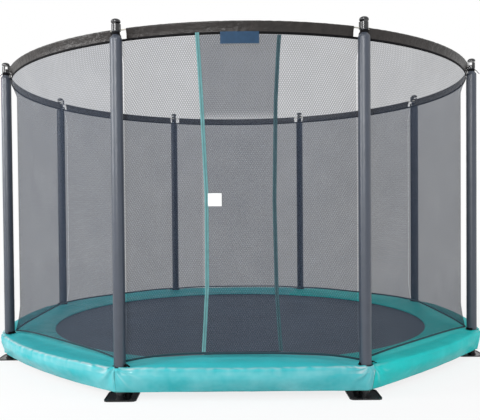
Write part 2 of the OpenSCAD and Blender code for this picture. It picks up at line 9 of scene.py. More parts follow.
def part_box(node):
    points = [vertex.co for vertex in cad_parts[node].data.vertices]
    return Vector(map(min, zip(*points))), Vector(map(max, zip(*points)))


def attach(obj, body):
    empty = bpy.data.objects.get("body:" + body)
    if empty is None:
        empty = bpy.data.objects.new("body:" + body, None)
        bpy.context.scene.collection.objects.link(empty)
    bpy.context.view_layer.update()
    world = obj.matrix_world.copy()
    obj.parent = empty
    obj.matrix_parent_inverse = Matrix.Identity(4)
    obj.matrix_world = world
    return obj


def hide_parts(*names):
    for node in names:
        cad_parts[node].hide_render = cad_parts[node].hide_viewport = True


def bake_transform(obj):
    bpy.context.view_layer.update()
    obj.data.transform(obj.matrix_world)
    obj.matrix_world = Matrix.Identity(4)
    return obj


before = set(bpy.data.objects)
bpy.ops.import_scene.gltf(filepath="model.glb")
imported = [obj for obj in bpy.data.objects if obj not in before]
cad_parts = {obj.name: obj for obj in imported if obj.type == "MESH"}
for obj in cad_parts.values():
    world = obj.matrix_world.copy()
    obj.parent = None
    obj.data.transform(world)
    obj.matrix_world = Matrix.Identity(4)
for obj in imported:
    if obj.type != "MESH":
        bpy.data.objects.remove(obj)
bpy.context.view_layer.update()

bl_info = {
    "name": "Enclosed Trampoline",
    "version": (1, 0, 0),
    "blender": (4, 5, 0),
    "location": "View3D > Sidebar > Trampoline",
    "description": "Dresses a low round trampoline with its padded edge, poles and safety net",
    "category": "Object",
}

# ---------------------------------------------------------------- places

SIDES = ("front", "front_right", "right", "back_right", "back", "back_left", "left", "front_left")
LAST_SIDE = len(SIDES) - 1
CORNERS = range(len(SIDES))
SIDE_STEP = 360 / len(SIDES)
HALF_SIDE = SIDE_STEP / 2


def mm(length):
    """A length in millimetres, in Blender's metres."""
    return length / 1000


def clamp(value):
    return max(0, min(1, value))


def bell(distance, width):
    """1 at no distance, and nearly 0 from twice the width on."""
    return math.exp(-(distance / width) ** 2)


def evenly(start, stop, steps):
    """Values from start to stop in equal steps, with both ends."""
    return [start + (stop - start) * i / steps for i in range(steps + 1)]


def middle_of(cad_node):
    low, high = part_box(cad_node)
    return (low + high) / 2


def height_span(cad_node):
    low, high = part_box(cad_node)
    return low.z, high.z


def side_turn(side):
    """Angle of a side's middle in degrees."""
    return SIDE_STEP * side - 90


def corner_turn(corner):
    """Angle of the pole where a side ends."""
    return side_turn(corner) + HALF_SIDE


def polar(radius, turn, height):
    """Point at a radius and an angle in degrees about the trampoline's axis."""
    angle = math.radians(turn)
    return Vector((radius * math.cos(angle), radius * math.sin(angle), height))


# Sizes that the frame gives
POLE_CIRCLE = Vector(middle_of("sleeve_0")[:2]).length
SLEEVE_RADIUS = (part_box("sleeve_0")[1].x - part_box("sleeve_0")[0].x) / 2
SLEEVE_FOOT, SLEEVE_TOP = height_span("sleeve_0")
PAD_TOP = height_span("pad_back")[1]
HEM_HEIGHT = height_span("pad_front")[0]
MAT_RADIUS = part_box("mat")[1].x
MAT_HEIGHT = middle_of("mat").z
BINDING_FOOT, BINDING_TOP = height_span("ring_binding")
ROD_HEIGHT = middle_of("ring_rods").z
NET_FOOT = height_span("net_hem")[0]
NET_TOP = height_span("net_back")[1]

# Sizes of the soft parts, as the frame's solids have them. Eight values go round the sides from the front one.
PAD_INNER_RADIUS = mm(1545)
FOLD_CORNER_RADIUS = POLE_CIRCLE + SLEEVE_RADIUS + mm(19)
HEM_CORNER_RADIUS = POLE_CIRCLE + SLEEVE_RADIUS + mm(2)
FOLD_ROUNDNESS = (0.36, 0.5, 0.55, 0.5, 0.36, 0.6, 0.55, 0.82)
HEM_ROUNDNESS = (0, 0.2, 0.3, 0.25, 0, 0.3, 0.3, 0.45)
CORNER_EASE = 0.86
CORNER_TRIM = mm(10)
POLE_SAG = mm(12)
SAG_FROM, SAG_TO = 14, 20.4
FRONT_BULGE = mm(44)
PAD_CUT_RADIUS = SLEEVE_RADIUS + mm(4)
SKIRT_THICKNESS = mm(3)
FRAME_RADIUS = mm(1810)
ROD_RING_RADIUS = mm(1862)
BINDING_RADIUS = POLE_CIRCLE - SLEEVE_RADIUS - mm(3)
NET_MIDDLE_RADIUS = POLE_CIRCLE - SLEEVE_RADIUS - mm(39)
NET_FOOT_RADIUS = POLE_CIRCLE - SLEEVE_RADIUS - mm(8)
NET_LIFTS = tuple(mm(lift) for lift in (44, 12, 18, 20, 20, 20, 18, 22))
NET_LAP = mm(7)
# Free edges of the doorway's flaps, as (height, distance to the right of the front's middle)
OUTER_EDGE = ((0.25, -0.230), (0.65, -0.206), (1.2, -0.204), (1.75, -0.228), (2.1, -0.246))
INNER_EDGE = ((0.25, 0.233), (0.62, 0.209), (1.16, 0.1985), (1.74, 0.2075), (2.1, 0.225))


def between(table, at):
    """Value at a place in a table of (place, value) pairs, in straight steps."""
    if at <= table[0][0]:
        return table[0][1]
    for (a, low), (b, high) in zip(table, table[1:]):
        if at <= b:
            return low + (high - low) * (at - a) / (b - a)
    return table[-1][1]


def side_radius(corner_radius, turn, roundness):
    """Radius of a side that is straight at roundness 0 and round at 1."""
    straight = math.cos(math.radians(HALF_SIDE)) / math.cos(math.radians(turn))
    return corner_radius * ((1 - roundness) * straight + roundness)


def near_side(turn):
    """A turn past a side's end, mirrored back into it."""
    return SIDE_STEP - abs(turn) if abs(turn) > HALF_SIDE else turn


def fold_radius(side, turn):
    turn = near_side(turn)
    past = max(0, abs(turn) / HALF_SIDE - CORNER_EASE) / (1 - CORNER_EASE)
    return side_radius(FOLD_CORNER_RADIUS + CORNER_TRIM, turn, FOLD_ROUNDNESS[side]) - CORNER_TRIM * past ** 2


def hem_radius(side, turn):
    return side_radius(HEM_CORNER_RADIUS, near_side(turn), HEM_ROUNDNESS[side])


def sag(turn):
    """How far the pad's crown is pressed down towards the poles."""
    return POLE_SAG * clamp((abs(near_side(turn)) - SAG_FROM) / (SAG_TO - SAG_FROM)) ** 2


def bulge(side, turn):
    """How far the front pad's inner edge rises under the doorway."""
    return 0 if side else FRONT_BULGE * (1 - min(1, abs(turn) / SAG_TO) ** 2)


def net_radius(turn, height):
    corner = between((
        (NET_FOOT, NET_FOOT_RADIUS), (NET_FOOT + mm(90), NET_MIDDLE_RADIUS + mm(12)),
        (NET_FOOT + mm(180), NET_MIDDLE_RADIUS), (NET_TOP - mm(120), NET_MIDDLE_RADIUS),
        (NET_TOP - mm(50), (NET_MIDDLE_RADIUS + BINDING_RADIUS) / 2), (NET_TOP, BINDING_RADIUS),
    ), height)
    roundness = between(((NET_FOOT, 0), (1.0, 0.2), (1.7, 0.55), (NET_TOP, 1)), height)
    return side_radius(corner, turn, roundness)


def net_foot(side, turn):
    return NET_FOOT + NET_LIFTS[side] * (1 - (turn / HALF_SIDE) ** 4)


def lap_at(lap, turn, height):
    """Each flap of the doorway stands off the other, and runs in to its own pole and to the ring's binding."""
    return lap * min(1, (HALF_SIDE - abs(turn)) / 8, 0.3 + max(0, NET_TOP - height) / mm(60))


def flap_turn(edge, height):
    """Angle of a doorway flap's free edge from the middle of the front."""
    return math.degrees(math.atan(between(edge, height) / net_radius(0, height)))


def about_pole(corner, radius, turn, height):
    """Point at a radius and an angle about a pole's own axis. Angle 0 is straight out from the trampoline."""
    middle = corner_turn(corner)
    return polar(POLE_CIRCLE, middle, 0) + polar(radius, middle + turn, height)


# ---------------------------------------------------------------- meshes

SHARP_FROM = 50


def wander(*place, size=1.0, seed=0.0):
    """Smooth noise from -1 to 1 at a place, with lumps of a size in metres."""
    x, y = (value / size for value in place)
    return noise.noise(Vector((x, y, seed)))


def crease(*place, size=1.0, seed=0.0):
    """Noise from 0 to 1 whose narrow ridges look like creases in cloth."""
    return (1 - min(1, abs(wander(*place, size=size, seed=seed)) * 3.2)) ** 2


def smooth_line(points, steps):
    """Points on a smooth curve through the given ones, with steps to each span and no overshoot."""
    points = [Vector(point) for point in points]
    last = len(points) - 1

    def slope(at):
        a, b, c = points[max(at - 1, 0)], points[at], points[min(at + 1, last)]
        return (c - a) / ((b - a).length + (c - b).length)

    line = []
    for at, (b, c) in enumerate(zip(points, points[1:])):
        span = (c - b).length
        leave, arrive = slope(at) * span, slope(at + 1) * span
        for step in range(steps):
            t = step / steps
            line.append(b * (2 * t ** 3 - 3 * t ** 2 + 1) + leave * (t ** 3 - 2 * t ** 2 + t)
                        + c * (3 * t ** 2 - 2 * t ** 3) + arrive * (t ** 3 - t ** 2))
    return line + [points[-1]]


def placed(name, data):
    """New object with some data, linked to the scene."""
    made = bpy.data.objects.new(name, data)
    bpy.context.scene.collection.objects.link(made)
    return made


def lay_uvs(mesh, grid, wide):
    """Give a grid's faces UVs in metres, measured along its rows and columns."""
    along = []
    for row in grid:
        reach = [0.0]
        for a, b in zip(row, row[1:]):
            reach.append(reach[-1] + (b - a).length)
        along.append([value - reach[-1] / 2 for value in reach])
    down = [[0.0] * wide]
    for upper, lower in zip(grid, grid[1:]):
        down.append([had + (b - a).length for had, a, b in zip(down[-1], upper, lower)])
    layer = mesh.uv_layers.new(name="metres")
    for polygon in mesh.polygons:
        first_row = min(mesh.loops[loop].vertex_index // wide for loop in polygon.loop_indices)
        for loop in polygon.loop_indices:
            row, column = divmod(mesh.loops[loop].vertex_index, wide)
            if row - first_row > 1:
                row -= len(grid)
            layer.data[loop].uv = (along[row][column], down[row][column])


def surface(name, grid, material, joined=False, capped=False):
    """Object with a smooth mesh through a grid of points, its faces outward. A joined one closes its last row
    to its first, and a capped one closes both ends of its rows."""
    wide, rows = len(grid[0]), len(grid)
    faces = []
    for row in range(rows if joined else rows - 1):
        here, after = row * wide, (row + 1) % rows * wide
        for column in range(wide - 1):
            faces.append((here + column, here + column + 1, after + column + 1, after + column))
    if capped:
        faces.append([row * wide for row in range(rows)])
        faces.append([row * wide + wide - 1 for row in reversed(range(rows))])
    mesh = bpy.data.meshes.new(name)
    mesh.from_pydata([point[:] for row in grid for point in row], [], faces)
    lay_uvs(mesh, grid, wide)
    shape = bmesh.new()
    shape.from_mesh(mesh)
    bmesh.ops.recalc_face_normals(shape, faces=shape.faces)
    if shape.calc_volume(signed=True) < 0:
        bmesh.ops.reverse_faces(shape, faces=shape.faces)
    shape.to_mesh(mesh)
    shape.free()
    mesh.shade_smooth()
    mesh.set_sharp_from_angle(angle=math.radians(SHARP_FROM))
    mesh.materials.append(material)
    return placed(name, mesh)


def closed_form(name, grid, material):
    """Object whose rows close round to the first one, with both ends of the rows capped."""
    return surface(name, grid, material, joined=True, capped=True)


def two_layers(outs, rows_at):
    """Rows of a thin closed piece: the outer face's, then the inner face's in reverse."""
    outer, inner = outs
    return rows_at(outer) + rows_at(inner)[::-1]


def heading(path, index):
    """Direction of a path at one of its points."""
    return (path[min(index + 1, len(path) - 1)] - path[max(index - 1, 0)]).normalized()


def sweep_grid(path, outline):
    """Rows of points that carry a flat outline, a list of (side, up) pairs, along a path."""
    grid = [[] for _ in outline]
    side = heading(path, 0).cross(Vector((0, 0, 1)))
    for index, point in enumerate(path):
        ahead = heading(path, index)
        side = (side - ahead * side.dot(ahead)).normalized()
        up = side.cross(ahead)
        for row, (x, y) in zip(grid, outline):
            row.append(point + side * x + up * y)
    return grid


def ribbon(name, path, width, thickness, across, material):
    """Flat strap along a path, with its width lying along a fixed direction."""
    grid = [[] for _ in range(4)]
    edge = across * width / 2
    for index, point in enumerate(path):
        face = heading(path, index).cross(across).normalized() * thickness / 2
        for row, place in zip(grid, (edge + face, edge - face, -edge - face, -edge + face)):
            row.append(point + place)
    return closed_form(name, grid, material)


def joined_up(name, parts):
    """Join objects of one material into one, and name it."""
    mesh = bpy.data.meshes.new(name)
    shape = bmesh.new()
    for part in parts:
        shape.from_mesh(part.data)
    shape.to_mesh(mesh)
    shape.free()
    mesh.materials.append(parts[0].data.materials[0])
    for part in parts:
        old = part.data
        bpy.data.objects.remove(part)
        bpy.data.meshes.remove(old)
    return placed(name, mesh)


def cut_round(target, centre, radius, low, high):
    """Cut an upright round hole through an object."""
    shape = bmesh.new()
    bmesh.ops.create_cone(
        shape, cap_ends=True, segments=64, radius1=radius, radius2=radius, depth=high - low,
        matrix=Matrix.Translation((centre.x, centre.y, (low + high) / 2)))
    mesh = bpy.data.meshes.new("cutter")
    shape.to_mesh(mesh)
    shape.free()
    cutter = placed("cutter", mesh)
    cut = target.modifiers.new("pole_hole", "BOOLEAN")
    cut.operation = "DIFFERENCE"
    cut.solver = "EXACT"
    cut.object = cutter
    with bpy.context.temp_override(object=target, active_object=target):
        bpy.ops.object.modifier_apply(modifier=cut.name)
    bpy.data.objects.remove(cutter)
    bpy.data.meshes.remove(mesh)


def fit(piece, cad_node, body="frame"):
    """Say which body a piece rides on, and hide the CAD node that it replaces."""
    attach(piece, body)
    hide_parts(cad_node)
    return piece


def dress(cad_nodes, material):
    """Give CAD nodes a material in place of the frame's plain one."""
    for name in cad_nodes:
        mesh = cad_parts[name].data
        mesh.materials.clear()
        mesh.materials.append(material)


# ---------------------------------------------------------------- materials

# Pale grey-white that painted sheen and painted highlights are mixed towards
PAINTED_SHEEN_WHITE = 0.8
COAT_ROUGHNESS = 0.13
# The pad's crown is spared the painted sheen of its skirt, which fades in below this height
PAINTED_SHEEN_BELOW, PAINTED_SHEEN_FADE = PAD_TOP - mm(8), mm(22)
NET_CELL, CELL_SLOPE = mm(14), 0.6
# Share of the view that the net covers, between its threads and on them
OPEN_COVER, THREAD_COVER = 0.39, 0.61
# Where the doorway's inner flap starts to be drawn thinner and where it is thinnest, along X and up to head height
THINNED_X = (-0.237, -0.207)
THINNED_Z = (1.69, 1.61)


def linear(hex_colour):
    """Linear colour of an sRGB hex value such as 3FBCC0."""
    parts = [int(hex_colour[i:i + 2], 16) / 255 for i in (0, 2, 4)]
    return [c / 12.92 if c <= 0.04045 else ((c + 0.055) / 1.055) ** 2.4 for c in parts]


def rgba(colour):
    return (*colour, 1)


def scaled(colour, factor):
    return [min(1, part * factor) for part in colour]


def whitened(colour, share):
    """A colour with a share of pale grey-white mixed in, for painted sheen and painted highlights."""
    return [part + (PAINTED_SHEEN_WHITE - part) * share for part in colour]


def node(tree, kind, inputs=None, **settings):
    """Add a shader node with its settings, and fill its inputs with values, sockets or nodes' first outputs."""
    made = tree.nodes.new("ShaderNode" + kind)
    for key, value in settings.items():
        setattr(made, key, value)
    for key, value in (inputs or {}).items():
        if isinstance(value, bpy.types.Node):
            value = value.outputs[0]
        if isinstance(value, bpy.types.NodeSocket):
            tree.links.new(value, made.inputs[key])
        else:
            made.inputs[key].default_value = value
    return made


def new_material(name):
    material = bpy.data.materials.new(name)
    material.use_nodes = True
    material.node_tree.nodes.clear()
    return material, material.node_tree


def with_shader(material, inputs):
    """Close a material with its shader and output."""
    tree = material.node_tree
    node(tree, "OutputMaterial", {"Surface": node(tree, "BsdfPrincipled", inputs)})
    return material


def object_axes(tree):
    return node(tree, "SeparateXYZ", {"Vector": node(tree, "TexCoord").outputs["Object"]}).outputs


def uv_axes(tree):
    return node(tree, "SeparateXYZ", {"Vector": node(tree, "UVMap", uv_map="metres")}).outputs


def threads(tree, spacing):
    """Heights of a plain weave on the metre UVs, from its thread spacing in metres."""
    waves = []
    for along in uv_axes(tree)[:2]:
        turns = node(tree, "Math", {0: along, 1: math.tau / spacing}, operation="MULTIPLY")
        waves.append(node(tree, "Math", {0: turns}, operation="SINE"))
    return node(tree, "Math", {0: waves[0], 1: waves[1]}, operation="MULTIPLY")


def soft_noise(tree, size, detail=3.0):
    """Noise over the object's own space, with lumps of a size in metres."""
    place = node(tree, "TexCoord").outputs["Object"]
    mapped = node(tree, "Mapping", {"Vector": place, "Scale": [1 / size] * 3})
    return node(tree, "TexNoise", {"Vector": mapped, "Scale": 1.0, "Detail": detail, "Roughness": 0.55})


def mottled(tree, pattern, colour, dark, light, pale=0.0):
    """Colour that goes between a dark and a light tone of itself with a noise. The light one can be mixed towards
    white as painted sheen.
    """
    share = node(tree, "MapRange", {"Value": pattern, "From Min": 0.3, "From Max": 0.7})
    return node(tree, "MixRGB", {
        "Fac": share, "Color1": rgba(scaled(colour, dark)), "Color2": rgba(whitened(scaled(colour, light), pale))})


def painted_sheen_and_highlights(tree, colour, plain, with_painted_sheen, lump, coat):
    """Tone and coat of a cover whose skirt alone gets a painted sheen in pale patches and has a glossy skin,
    rubbed dull in patches. Where the mesh marks a painted highlight over a crease, it is painted pale and its coat
    shines."""
    on_skirt = node(tree, "MapRange", {
        "Value": object_axes(tree)["Z"], "From Min": PAINTED_SHEEN_BELOW - PAINTED_SHEEN_FADE, "From Max": PAINTED_SHEEN_BELOW,
        "To Min": 1.0, "To Max": 0.0}, interpolation_type="SMOOTHSTEP")
    highlighted = node(tree, "Attribute", attribute_name="painted_highlight").outputs["Fac"]
    tone = node(tree, "MixRGB", {"Fac": on_skirt, "Color1": plain, "Color2": with_painted_sheen})
    tone = node(tree, "MixRGB", {"Fac": highlighted, "Color1": tone, "Color2": rgba(whitened(colour, 0.85))})
    rubbed = node(tree, "MapRange", {
        "Value": soft_noise(tree, lump * 0.7), "From Min": 0.4, "From Max": 0.62,
        "To Min": coat * 0.2, "To Max": coat * 1.8})
    rubbed = node(tree, "Math", {0: rubbed, 1: on_skirt}, operation="MULTIPLY")
    return tone, node(tree, "Math", {0: rubbed, 1: highlighted}, operation="MAXIMUM")


def coated_cloth(name, colour, thread, lump, roughness, gloss, dark, light, crumple, pale=0.0, coat=0.0):
    """Cloth with a plastic coating: soft dents catch a broad sheen, and the weave only just shows through."""
    material, tree = new_material(name)
    tone = mottled(tree, soft_noise(tree, lump), colour, dark, light)
    # With a coat, the skirt's light tone gets painted sheen, and the places that the mesh marks get painted highlights
    if coat:
        with_painted_sheen = mottled(tree, soft_noise(tree, lump), colour, dark, light, pale)
        tone, coat = painted_sheen_and_highlights(tree, colour, tone, with_painted_sheen, lump, coat)
    dents = node(tree, "Bump", {"Height": soft_noise(tree, lump * 0.6, 4), "Distance": crumple})
    weave = node(tree, "Bump", {
        "Height": threads(tree, thread), "Distance": mm(0.15), "Strength": 0.5, "Normal": dents})
    sheen = node(tree, "MapRange", {
        "Value": soft_noise(tree, lump * 1.7), "To Min": roughness * 0.8, "To Max": roughness * 1.25})
    return with_shader(material, {
        "Base Color": tone, "Roughness": sheen, "Specular IOR Level": gloss, "Normal": weave,
        "Coat Weight": coat, "Coat Roughness": COAT_ROUGHNESS, "Coat Normal": dents})


def pad_vinyl(name, colour, pale, coat):
    """PVC-coated polyester, calendered: a smooth satin skin over a weave of about 1 mm, drawn at 4 mm so that
    it shows from a step away. Its skirt can be painted paler in patches, as painted sheen."""
    return coated_cloth(name, colour, thread=mm(4), lump=mm(200), roughness=0.46, gloss=0.04,
                        dark=0.9, light=1.05, crumple=mm(8), pale=pale, coat=coat)


def sleeve_vinyl(colour):
    """PVC-coated polyester over closed-cell foam: slate, with a soft upright highlight and small puckers.
    Its 1 mm weave is drawn at 3 mm."""
    return coated_cloth("pvc_coated_polyester_slate", colour, thread=mm(3), lump=mm(90), roughness=0.38,
                        gloss=0.75, dark=0.9, light=1.08, crumple=mm(2))


def ring_vinyl(colour):
    """PVC-coated polyester drawn over the rods: nearly black, with bluish glints on its gathers. Its 1 mm
    weave is drawn at 3 mm."""
    return coated_cloth("pvc_coated_polyester_black_brown", colour, thread=mm(3), lump=mm(50), roughness=0.34,
                        gloss=0.35, dark=0.7, light=1.3, crumple=mm(6))


def webbing(colour):
    """Woven polypropylene webbing: a matt ribbed face, its 2 mm ribs drawn at 3 mm."""
    material, tree = new_material("woven_polypropylene_webbing")
    return with_shader(material, {
        "Base Color": mottled(tree, soft_noise(tree, 0.02), colour, 0.7, 1.4), "Roughness": 0.8,
        "Specular IOR Level": 0.12,
        "Normal": node(tree, "Bump", {"Height": soft_noise(tree, mm(3), 1), "Distance": mm(0.5)})})


def doorway_thinning(tree, strength):
    """Factor on the cloth's cover that falls below 1 where the two flaps lie over each other."""
    axes = object_axes(tree)
    doubled, below = (node(tree, "MapRange", {
        "Value": axes[axis], "From Min": start, "From Max": full}, interpolation_type="SMOOTHSTEP")
        for axis, (start, full) in (("X", THINNED_X), ("Z", THINNED_Z)))
    amount = node(tree, "Math", {0: doubled, 1: below}, operation="MULTIPLY")
    return node(tree, "MapRange", {"Value": amount, "To Min": 1.0, "To Max": 1 - strength})


def knitted_net(name, colour, thinning=0.0):
    """Warp-knitted polyethylene net: fine dark threads round open cells. The real cells of 3 mm are drawn
    at 14 mm, as coarse as they need to be to show from a few metres, and the eye sees a grey veil. Where the
    doorway is doubled its inner cloth can be drawn thinner, so that the eye looks through it as easily."""
    material, tree = new_material(name)
    uv = uv_axes(tree)
    diagonals = []
    for slope in (CELL_SLOPE, -CELL_SLOPE):
        slant = node(tree, "Math", {0: uv["Y"], 1: slope, 2: uv["X"]}, operation="MULTIPLY_ADD")
        turns = node(tree, "Math", {0: slant, 1: math.tau / NET_CELL}, operation="MULTIPLY")
        diagonals.append(node(tree, "Math", {0: turns}, operation="COSINE"))
    crossed = node(tree, "Math", {0: diagonals[0], 1: diagonals[1]}, operation="MAXIMUM")
    gathered = node(tree, "Math", {0: soft_noise(tree, 0.25), 1: 0.1, 2: -0.05}, operation="MULTIPLY_ADD")
    cover = node(tree, "MapRange", {
        "Value": crossed, "From Min": -0.6, "From Max": 1.0, "To Min": OPEN_COVER, "To Max": THREAD_COVER})
    alpha = node(tree, "Math", {0: cover, 1: gathered}, operation="ADD", use_clamp=True)
    if thinning:
        alpha = node(tree, "Math", {0: alpha, 1: doorway_thinning(tree, thinning)}, operation="MULTIPLY")
    return with_shader(material, {
        "Base Color": rgba(colour), "Roughness": 0.7, "Specular IOR Level": 0.08, "Alpha": alpha})


def woven_mat(colour):
    """Woven polypropylene mat: flat black tapes with a faint grazing shine. The 1.5 mm weave is drawn at 9 mm."""
    material, tree = new_material("woven_polypropylene_mat")
    return with_shader(material, {
        "Base Color": mottled(tree, soft_noise(tree, 0.35), colour, 0.85, 1.2), "Roughness": 0.5,
        "Specular IOR Level": 0.3,
        "Normal": node(tree, "Bump", {"Height": threads(tree, mm(9)), "Distance": mm(0.4), "Strength": 0.6})})


def zinc_coated_steel(name, colour, roughness, grain):
    """Zinc-coated steel: a grey metal whose spangle and draw marks break up its shine."""
    material, tree = new_material(name)
    spots = soft_noise(tree, grain, 5)
    return with_shader(material, {
        "Base Color": mottled(tree, spots, colour, 0.8, 1.1), "Metallic": 1.0,
        "Roughness": node(tree, "MapRange", {
            "Value": spots, "To Min": roughness * 0.75, "To Max": roughness * 1.3}),
        "Normal": node(tree, "Bump", {"Height": spots, "Distance": mm(0.2), "Strength": 0.4})})


def drawn_wire(name):
    """Hard-drawn steel wire, zinc-plated: smoother and brighter than the tubes."""
    return zinc_coated_steel(name, colours().steel, roughness=0.28, grain=mm(10))


def satin_solid(name, colour, roughness, pebble, depth, gloss=0.5):
    """Opaque plastic or paint with a fine pebbled skin."""
    material, tree = new_material(name)
    patches = soft_noise(tree, pebble * 20)
    return with_shader(material, {
        "Base Color": mottled(tree, patches, colour, 0.85, 1.2), "Specular IOR Level": gloss,
        "Roughness": node(tree, "MapRange", {
            "Value": patches, "To Min": roughness * 0.8, "To Max": roughness * 1.2}),
        "Normal": node(tree, "Bump", {
            "Height": soft_noise(tree, pebble, 2), "Distance": depth, "Strength": 0.6})})


def powder_coat(colour):
    """Black powder-coated steel: a fine orange-peel skin, drawn at 4 mm."""
    return satin_solid("powder_coated_steel_black", colour, roughness=0.26, pebble=mm(4), depth=mm(0.15))


def moulded_cap(colour):
    """Injection-moulded polypropylene: black with a fine spark-eroded grain, drawn at 2 mm."""
    return satin_solid("moulded_polypropylene_black", colour, roughness=0.28, pebble=mm(2), depth=mm(0.1),
                       gloss=0.65)


def pultruded_rod(colour):
    """Pultruded glass fibre: pale resin, faintly mottled, with a hard shine."""
    return satin_solid("pultruded_glass_fibre", colour, roughness=0.3, pebble=mm(3), depth=mm(0.1), gloss=0.6)


def tape_cloth(name, colour, half_girth=0.0):
    """Folded polyester tape: matt, with a 1 mm rib drawn at 3 mm and an edge that picks up light. Where half
    the way round the tape is given, the middle of each face is darkened along its sunk line of stitches as painted
    shade, drawn 6 mm wide."""
    material, tree = new_material(name)
    tone = mottled(tree, soft_noise(tree, 0.03), colour, 0.88, 1.12)
    if half_girth:
        middle = half_girth / 2
        from_edge = node(tree, "Math", {0: uv_axes(tree)["Y"], 1: middle}, operation="PINGPONG")
        painted_groove_shade = node(tree, "MapRange", {
            "Value": from_edge, "From Min": middle - mm(4), "From Max": middle - mm(2)},
            interpolation_type="SMOOTHSTEP")
        tone = node(tree, "MixRGB", {"Fac": painted_groove_shade, "Color1": tone, "Color2": rgba(scaled(colour, 0.6))})
    return with_shader(material, {
        "Base Color": tone, "Roughness": 0.65, "Specular IOR Level": 0.3, "Sheen Weight": 0.1,
        "Normal": node(tree, "Bump", {"Height": threads(tree, mm(3)), "Distance": mm(0.2), "Strength": 0.5})})


# ---------------------------------------------------------------- settings


def colour_setting(name, hex_colour, description):
    return FloatVectorProperty(
        name=name, description=description, subtype="COLOR", size=3, min=0, max=1, default=linear(hex_colour))


def length_setting(name, default, description):
    return FloatProperty(name=name, description=description, unit="LENGTH", min=0, default=default)


class TrampolineColours(bpy.types.PropertyGroup):
    """Colours of the trampoline's materials."""
    # Lit and shaded copies of the pad's cover: "Pad" gets painted sheen on the sides that face the lamps, and "Pad,
    # shaded side" is painted shade, darker and without sheen, for the sides that face away
    pad: colour_setting("Pad", "3AB5BB", "Cover of the spring pad and its skirt")
    pad_shaded: colour_setting("Pad, shaded side", "2CC2BF", "Cover where the sun has not bleached it")
    sleeve: colour_setting("Pole sleeve", "343B47", "Cloth over the poles' foam")
    ring: colour_setting("Ring cloth", "25211F", "Cloth round the net's rods")
    net: colour_setting("Net", "363E4B", "Threads of the safety net")
    mat: colour_setting("Mat", "414B58", "Jumping mat")
    webbing: colour_setting("Webbing", "0A0A0C", "Straps, hems and seams")
    door: colour_setting("Doorway tape", "5E9092", "Bound edges of the doorway")
    label: colour_setting("Label", "F4F4F2", "Blank label beside the doorway")
    patch: colour_setting("Patch", "1B3A55", "Plain patch over the doorway")
    steel: colour_setting("Steel tube", "A9AEB1", "Zinc coating of the tubes and springs")
    plate: colour_setting("Foot plate", "101214", "Powder coat of the foot plates")
    cap: colour_setting("Pole cap", "17181A", "Moulded caps of the poles")
    rod: colour_setting("Rod", "C8C4B8", "Glass-fibre rods")


class TrampolineSizes(bpy.types.PropertyGroup):
    """Sizes of the soft parts' finer forms."""
    skirt_fold: length_setting("Skirt folds", mm(6), "How far the skirt's soft folds stand in and out")
    pad_pucker: length_setting("Pad puckers", mm(2.5), "Height of the puckers on the pad's crown")
    ring_gather: length_setting("Ring gathers", mm(5.5), "Depth of the gathers in the cloth round the rods")
    net_fold: length_setting("Net folds", mm(5), "How far the net's upright folds stand in and out")
    neck_pleat: length_setting("Neck pleats", mm(2.4), "Depth of the pleats where a sleeve is tied in")
    spring_diameter: length_setting("Spring diameter", mm(23), "Outside diameter of the springs")
    spring_wire: length_setting("Spring wire", mm(3.6), "Wire diameter of the springs")
    spring_turns: FloatProperty(name="Spring turns", description="Turns in each spring", min=8, default=22)


def colours():
    return bpy.context.scene.trampoline_colours


def sizes():
    return bpy.context.scene.trampoline_sizes


# ---------------------------------------------------------------- steel parts


class TRAMPOLINE_OT_steel(bpy.types.Operator):
    """Finish the foot plates, legs, clamps, frame tubes and poles"""
    bl_idname = "trampoline.add_steel"
    bl_label = "Feet, frame and poles"

    def execute(self, context):
        tube = zinc_coated_steel("galvanised_steel_tube", colours().steel, roughness=0.42, grain=mm(12))
        bolt = zinc_coated_steel("zinc_plated_steel_bolt", colours().steel, roughness=0.3, grain=mm(6))
        dress(["frame_" + side for side in SIDES], tube)
        dress(["leg_joints", "poles_lower", "poles_upper"], tube)
        dress(["bracket_bolts", "rod_ferrules"], bolt)
        dress(["foot_plates", "pole_brackets"], powder_coat(colours().plate))
        return {"FINISHED"}


# ---------------------------------------------------------------- mat and springs

MAT_HALF_THICK = mm(1.5)
BAND_HALF_THICK = mm(3)
SPRINGS_PER_SIDE = 9
SPRING_SPACING = SIDE_STEP / SPRINGS_PER_SIDE
WIRE_FACETS = 5


class TRAMPOLINE_OT_mat(bpy.types.Operator):
    """Make the jumping mat with its sewn edge band, and finish its wire rings"""
    bl_idname = "trampoline.add_mat"
    bl_label = "Jumping mat"

    def execute(self, context):
        edge, thick, band = MAT_RADIUS, MAT_HALF_THICK, BAND_HALF_THICK
        outline = [(mm(2), thick), (0.4, thick), (0.8, thick), (1.2, thick), (edge - mm(42), thick),
                   (edge - mm(39), band), (edge - mm(24), band), (edge - mm(22), band - mm(0.4)),
                   (edge - mm(20), band), (edge - mm(4), band), (edge - mm(1), band * 0.6), (edge, 0)]
        outline += [(radius, -height) for radius, height in reversed(outline[:-1])]
        grid = [[polar(radius, turn, MAT_HEIGHT + height) for radius, height in outline]
                for turn in evenly(0, 360, 180)[:-1]]
        mat = surface("jumping_mat", grid, woven_mat(colours().mat), joined=True)
        fill_hub(mat)
        flat_uvs(mat)
        fit(mat, "mat", "mat")
        dress(["mat_rings"], drawn_wire("zinc_plated_ring_wire"))
        return {"FINISHED"}


def fill_hub(target):
    """Close the small holes left at a revolved sheet's axis."""
    shape = bmesh.new()
    shape.from_mesh(target.data)
    bmesh.ops.holes_fill(shape, edges=[edge for edge in shape.edges if edge.is_boundary])
    bmesh.ops.recalc_face_normals(shape, faces=shape.faces)
    shape.to_mesh(target.data)
    shape.free()


def flat_uvs(target):
    """UVs in metres straight down from above, for a flat sheet."""
    mesh = target.data
    layer = mesh.uv_layers["metres"]
    for loop in mesh.loops:
        layer.data[loop.index].uv = mesh.vertices[loop.vertex_index].co[:2]


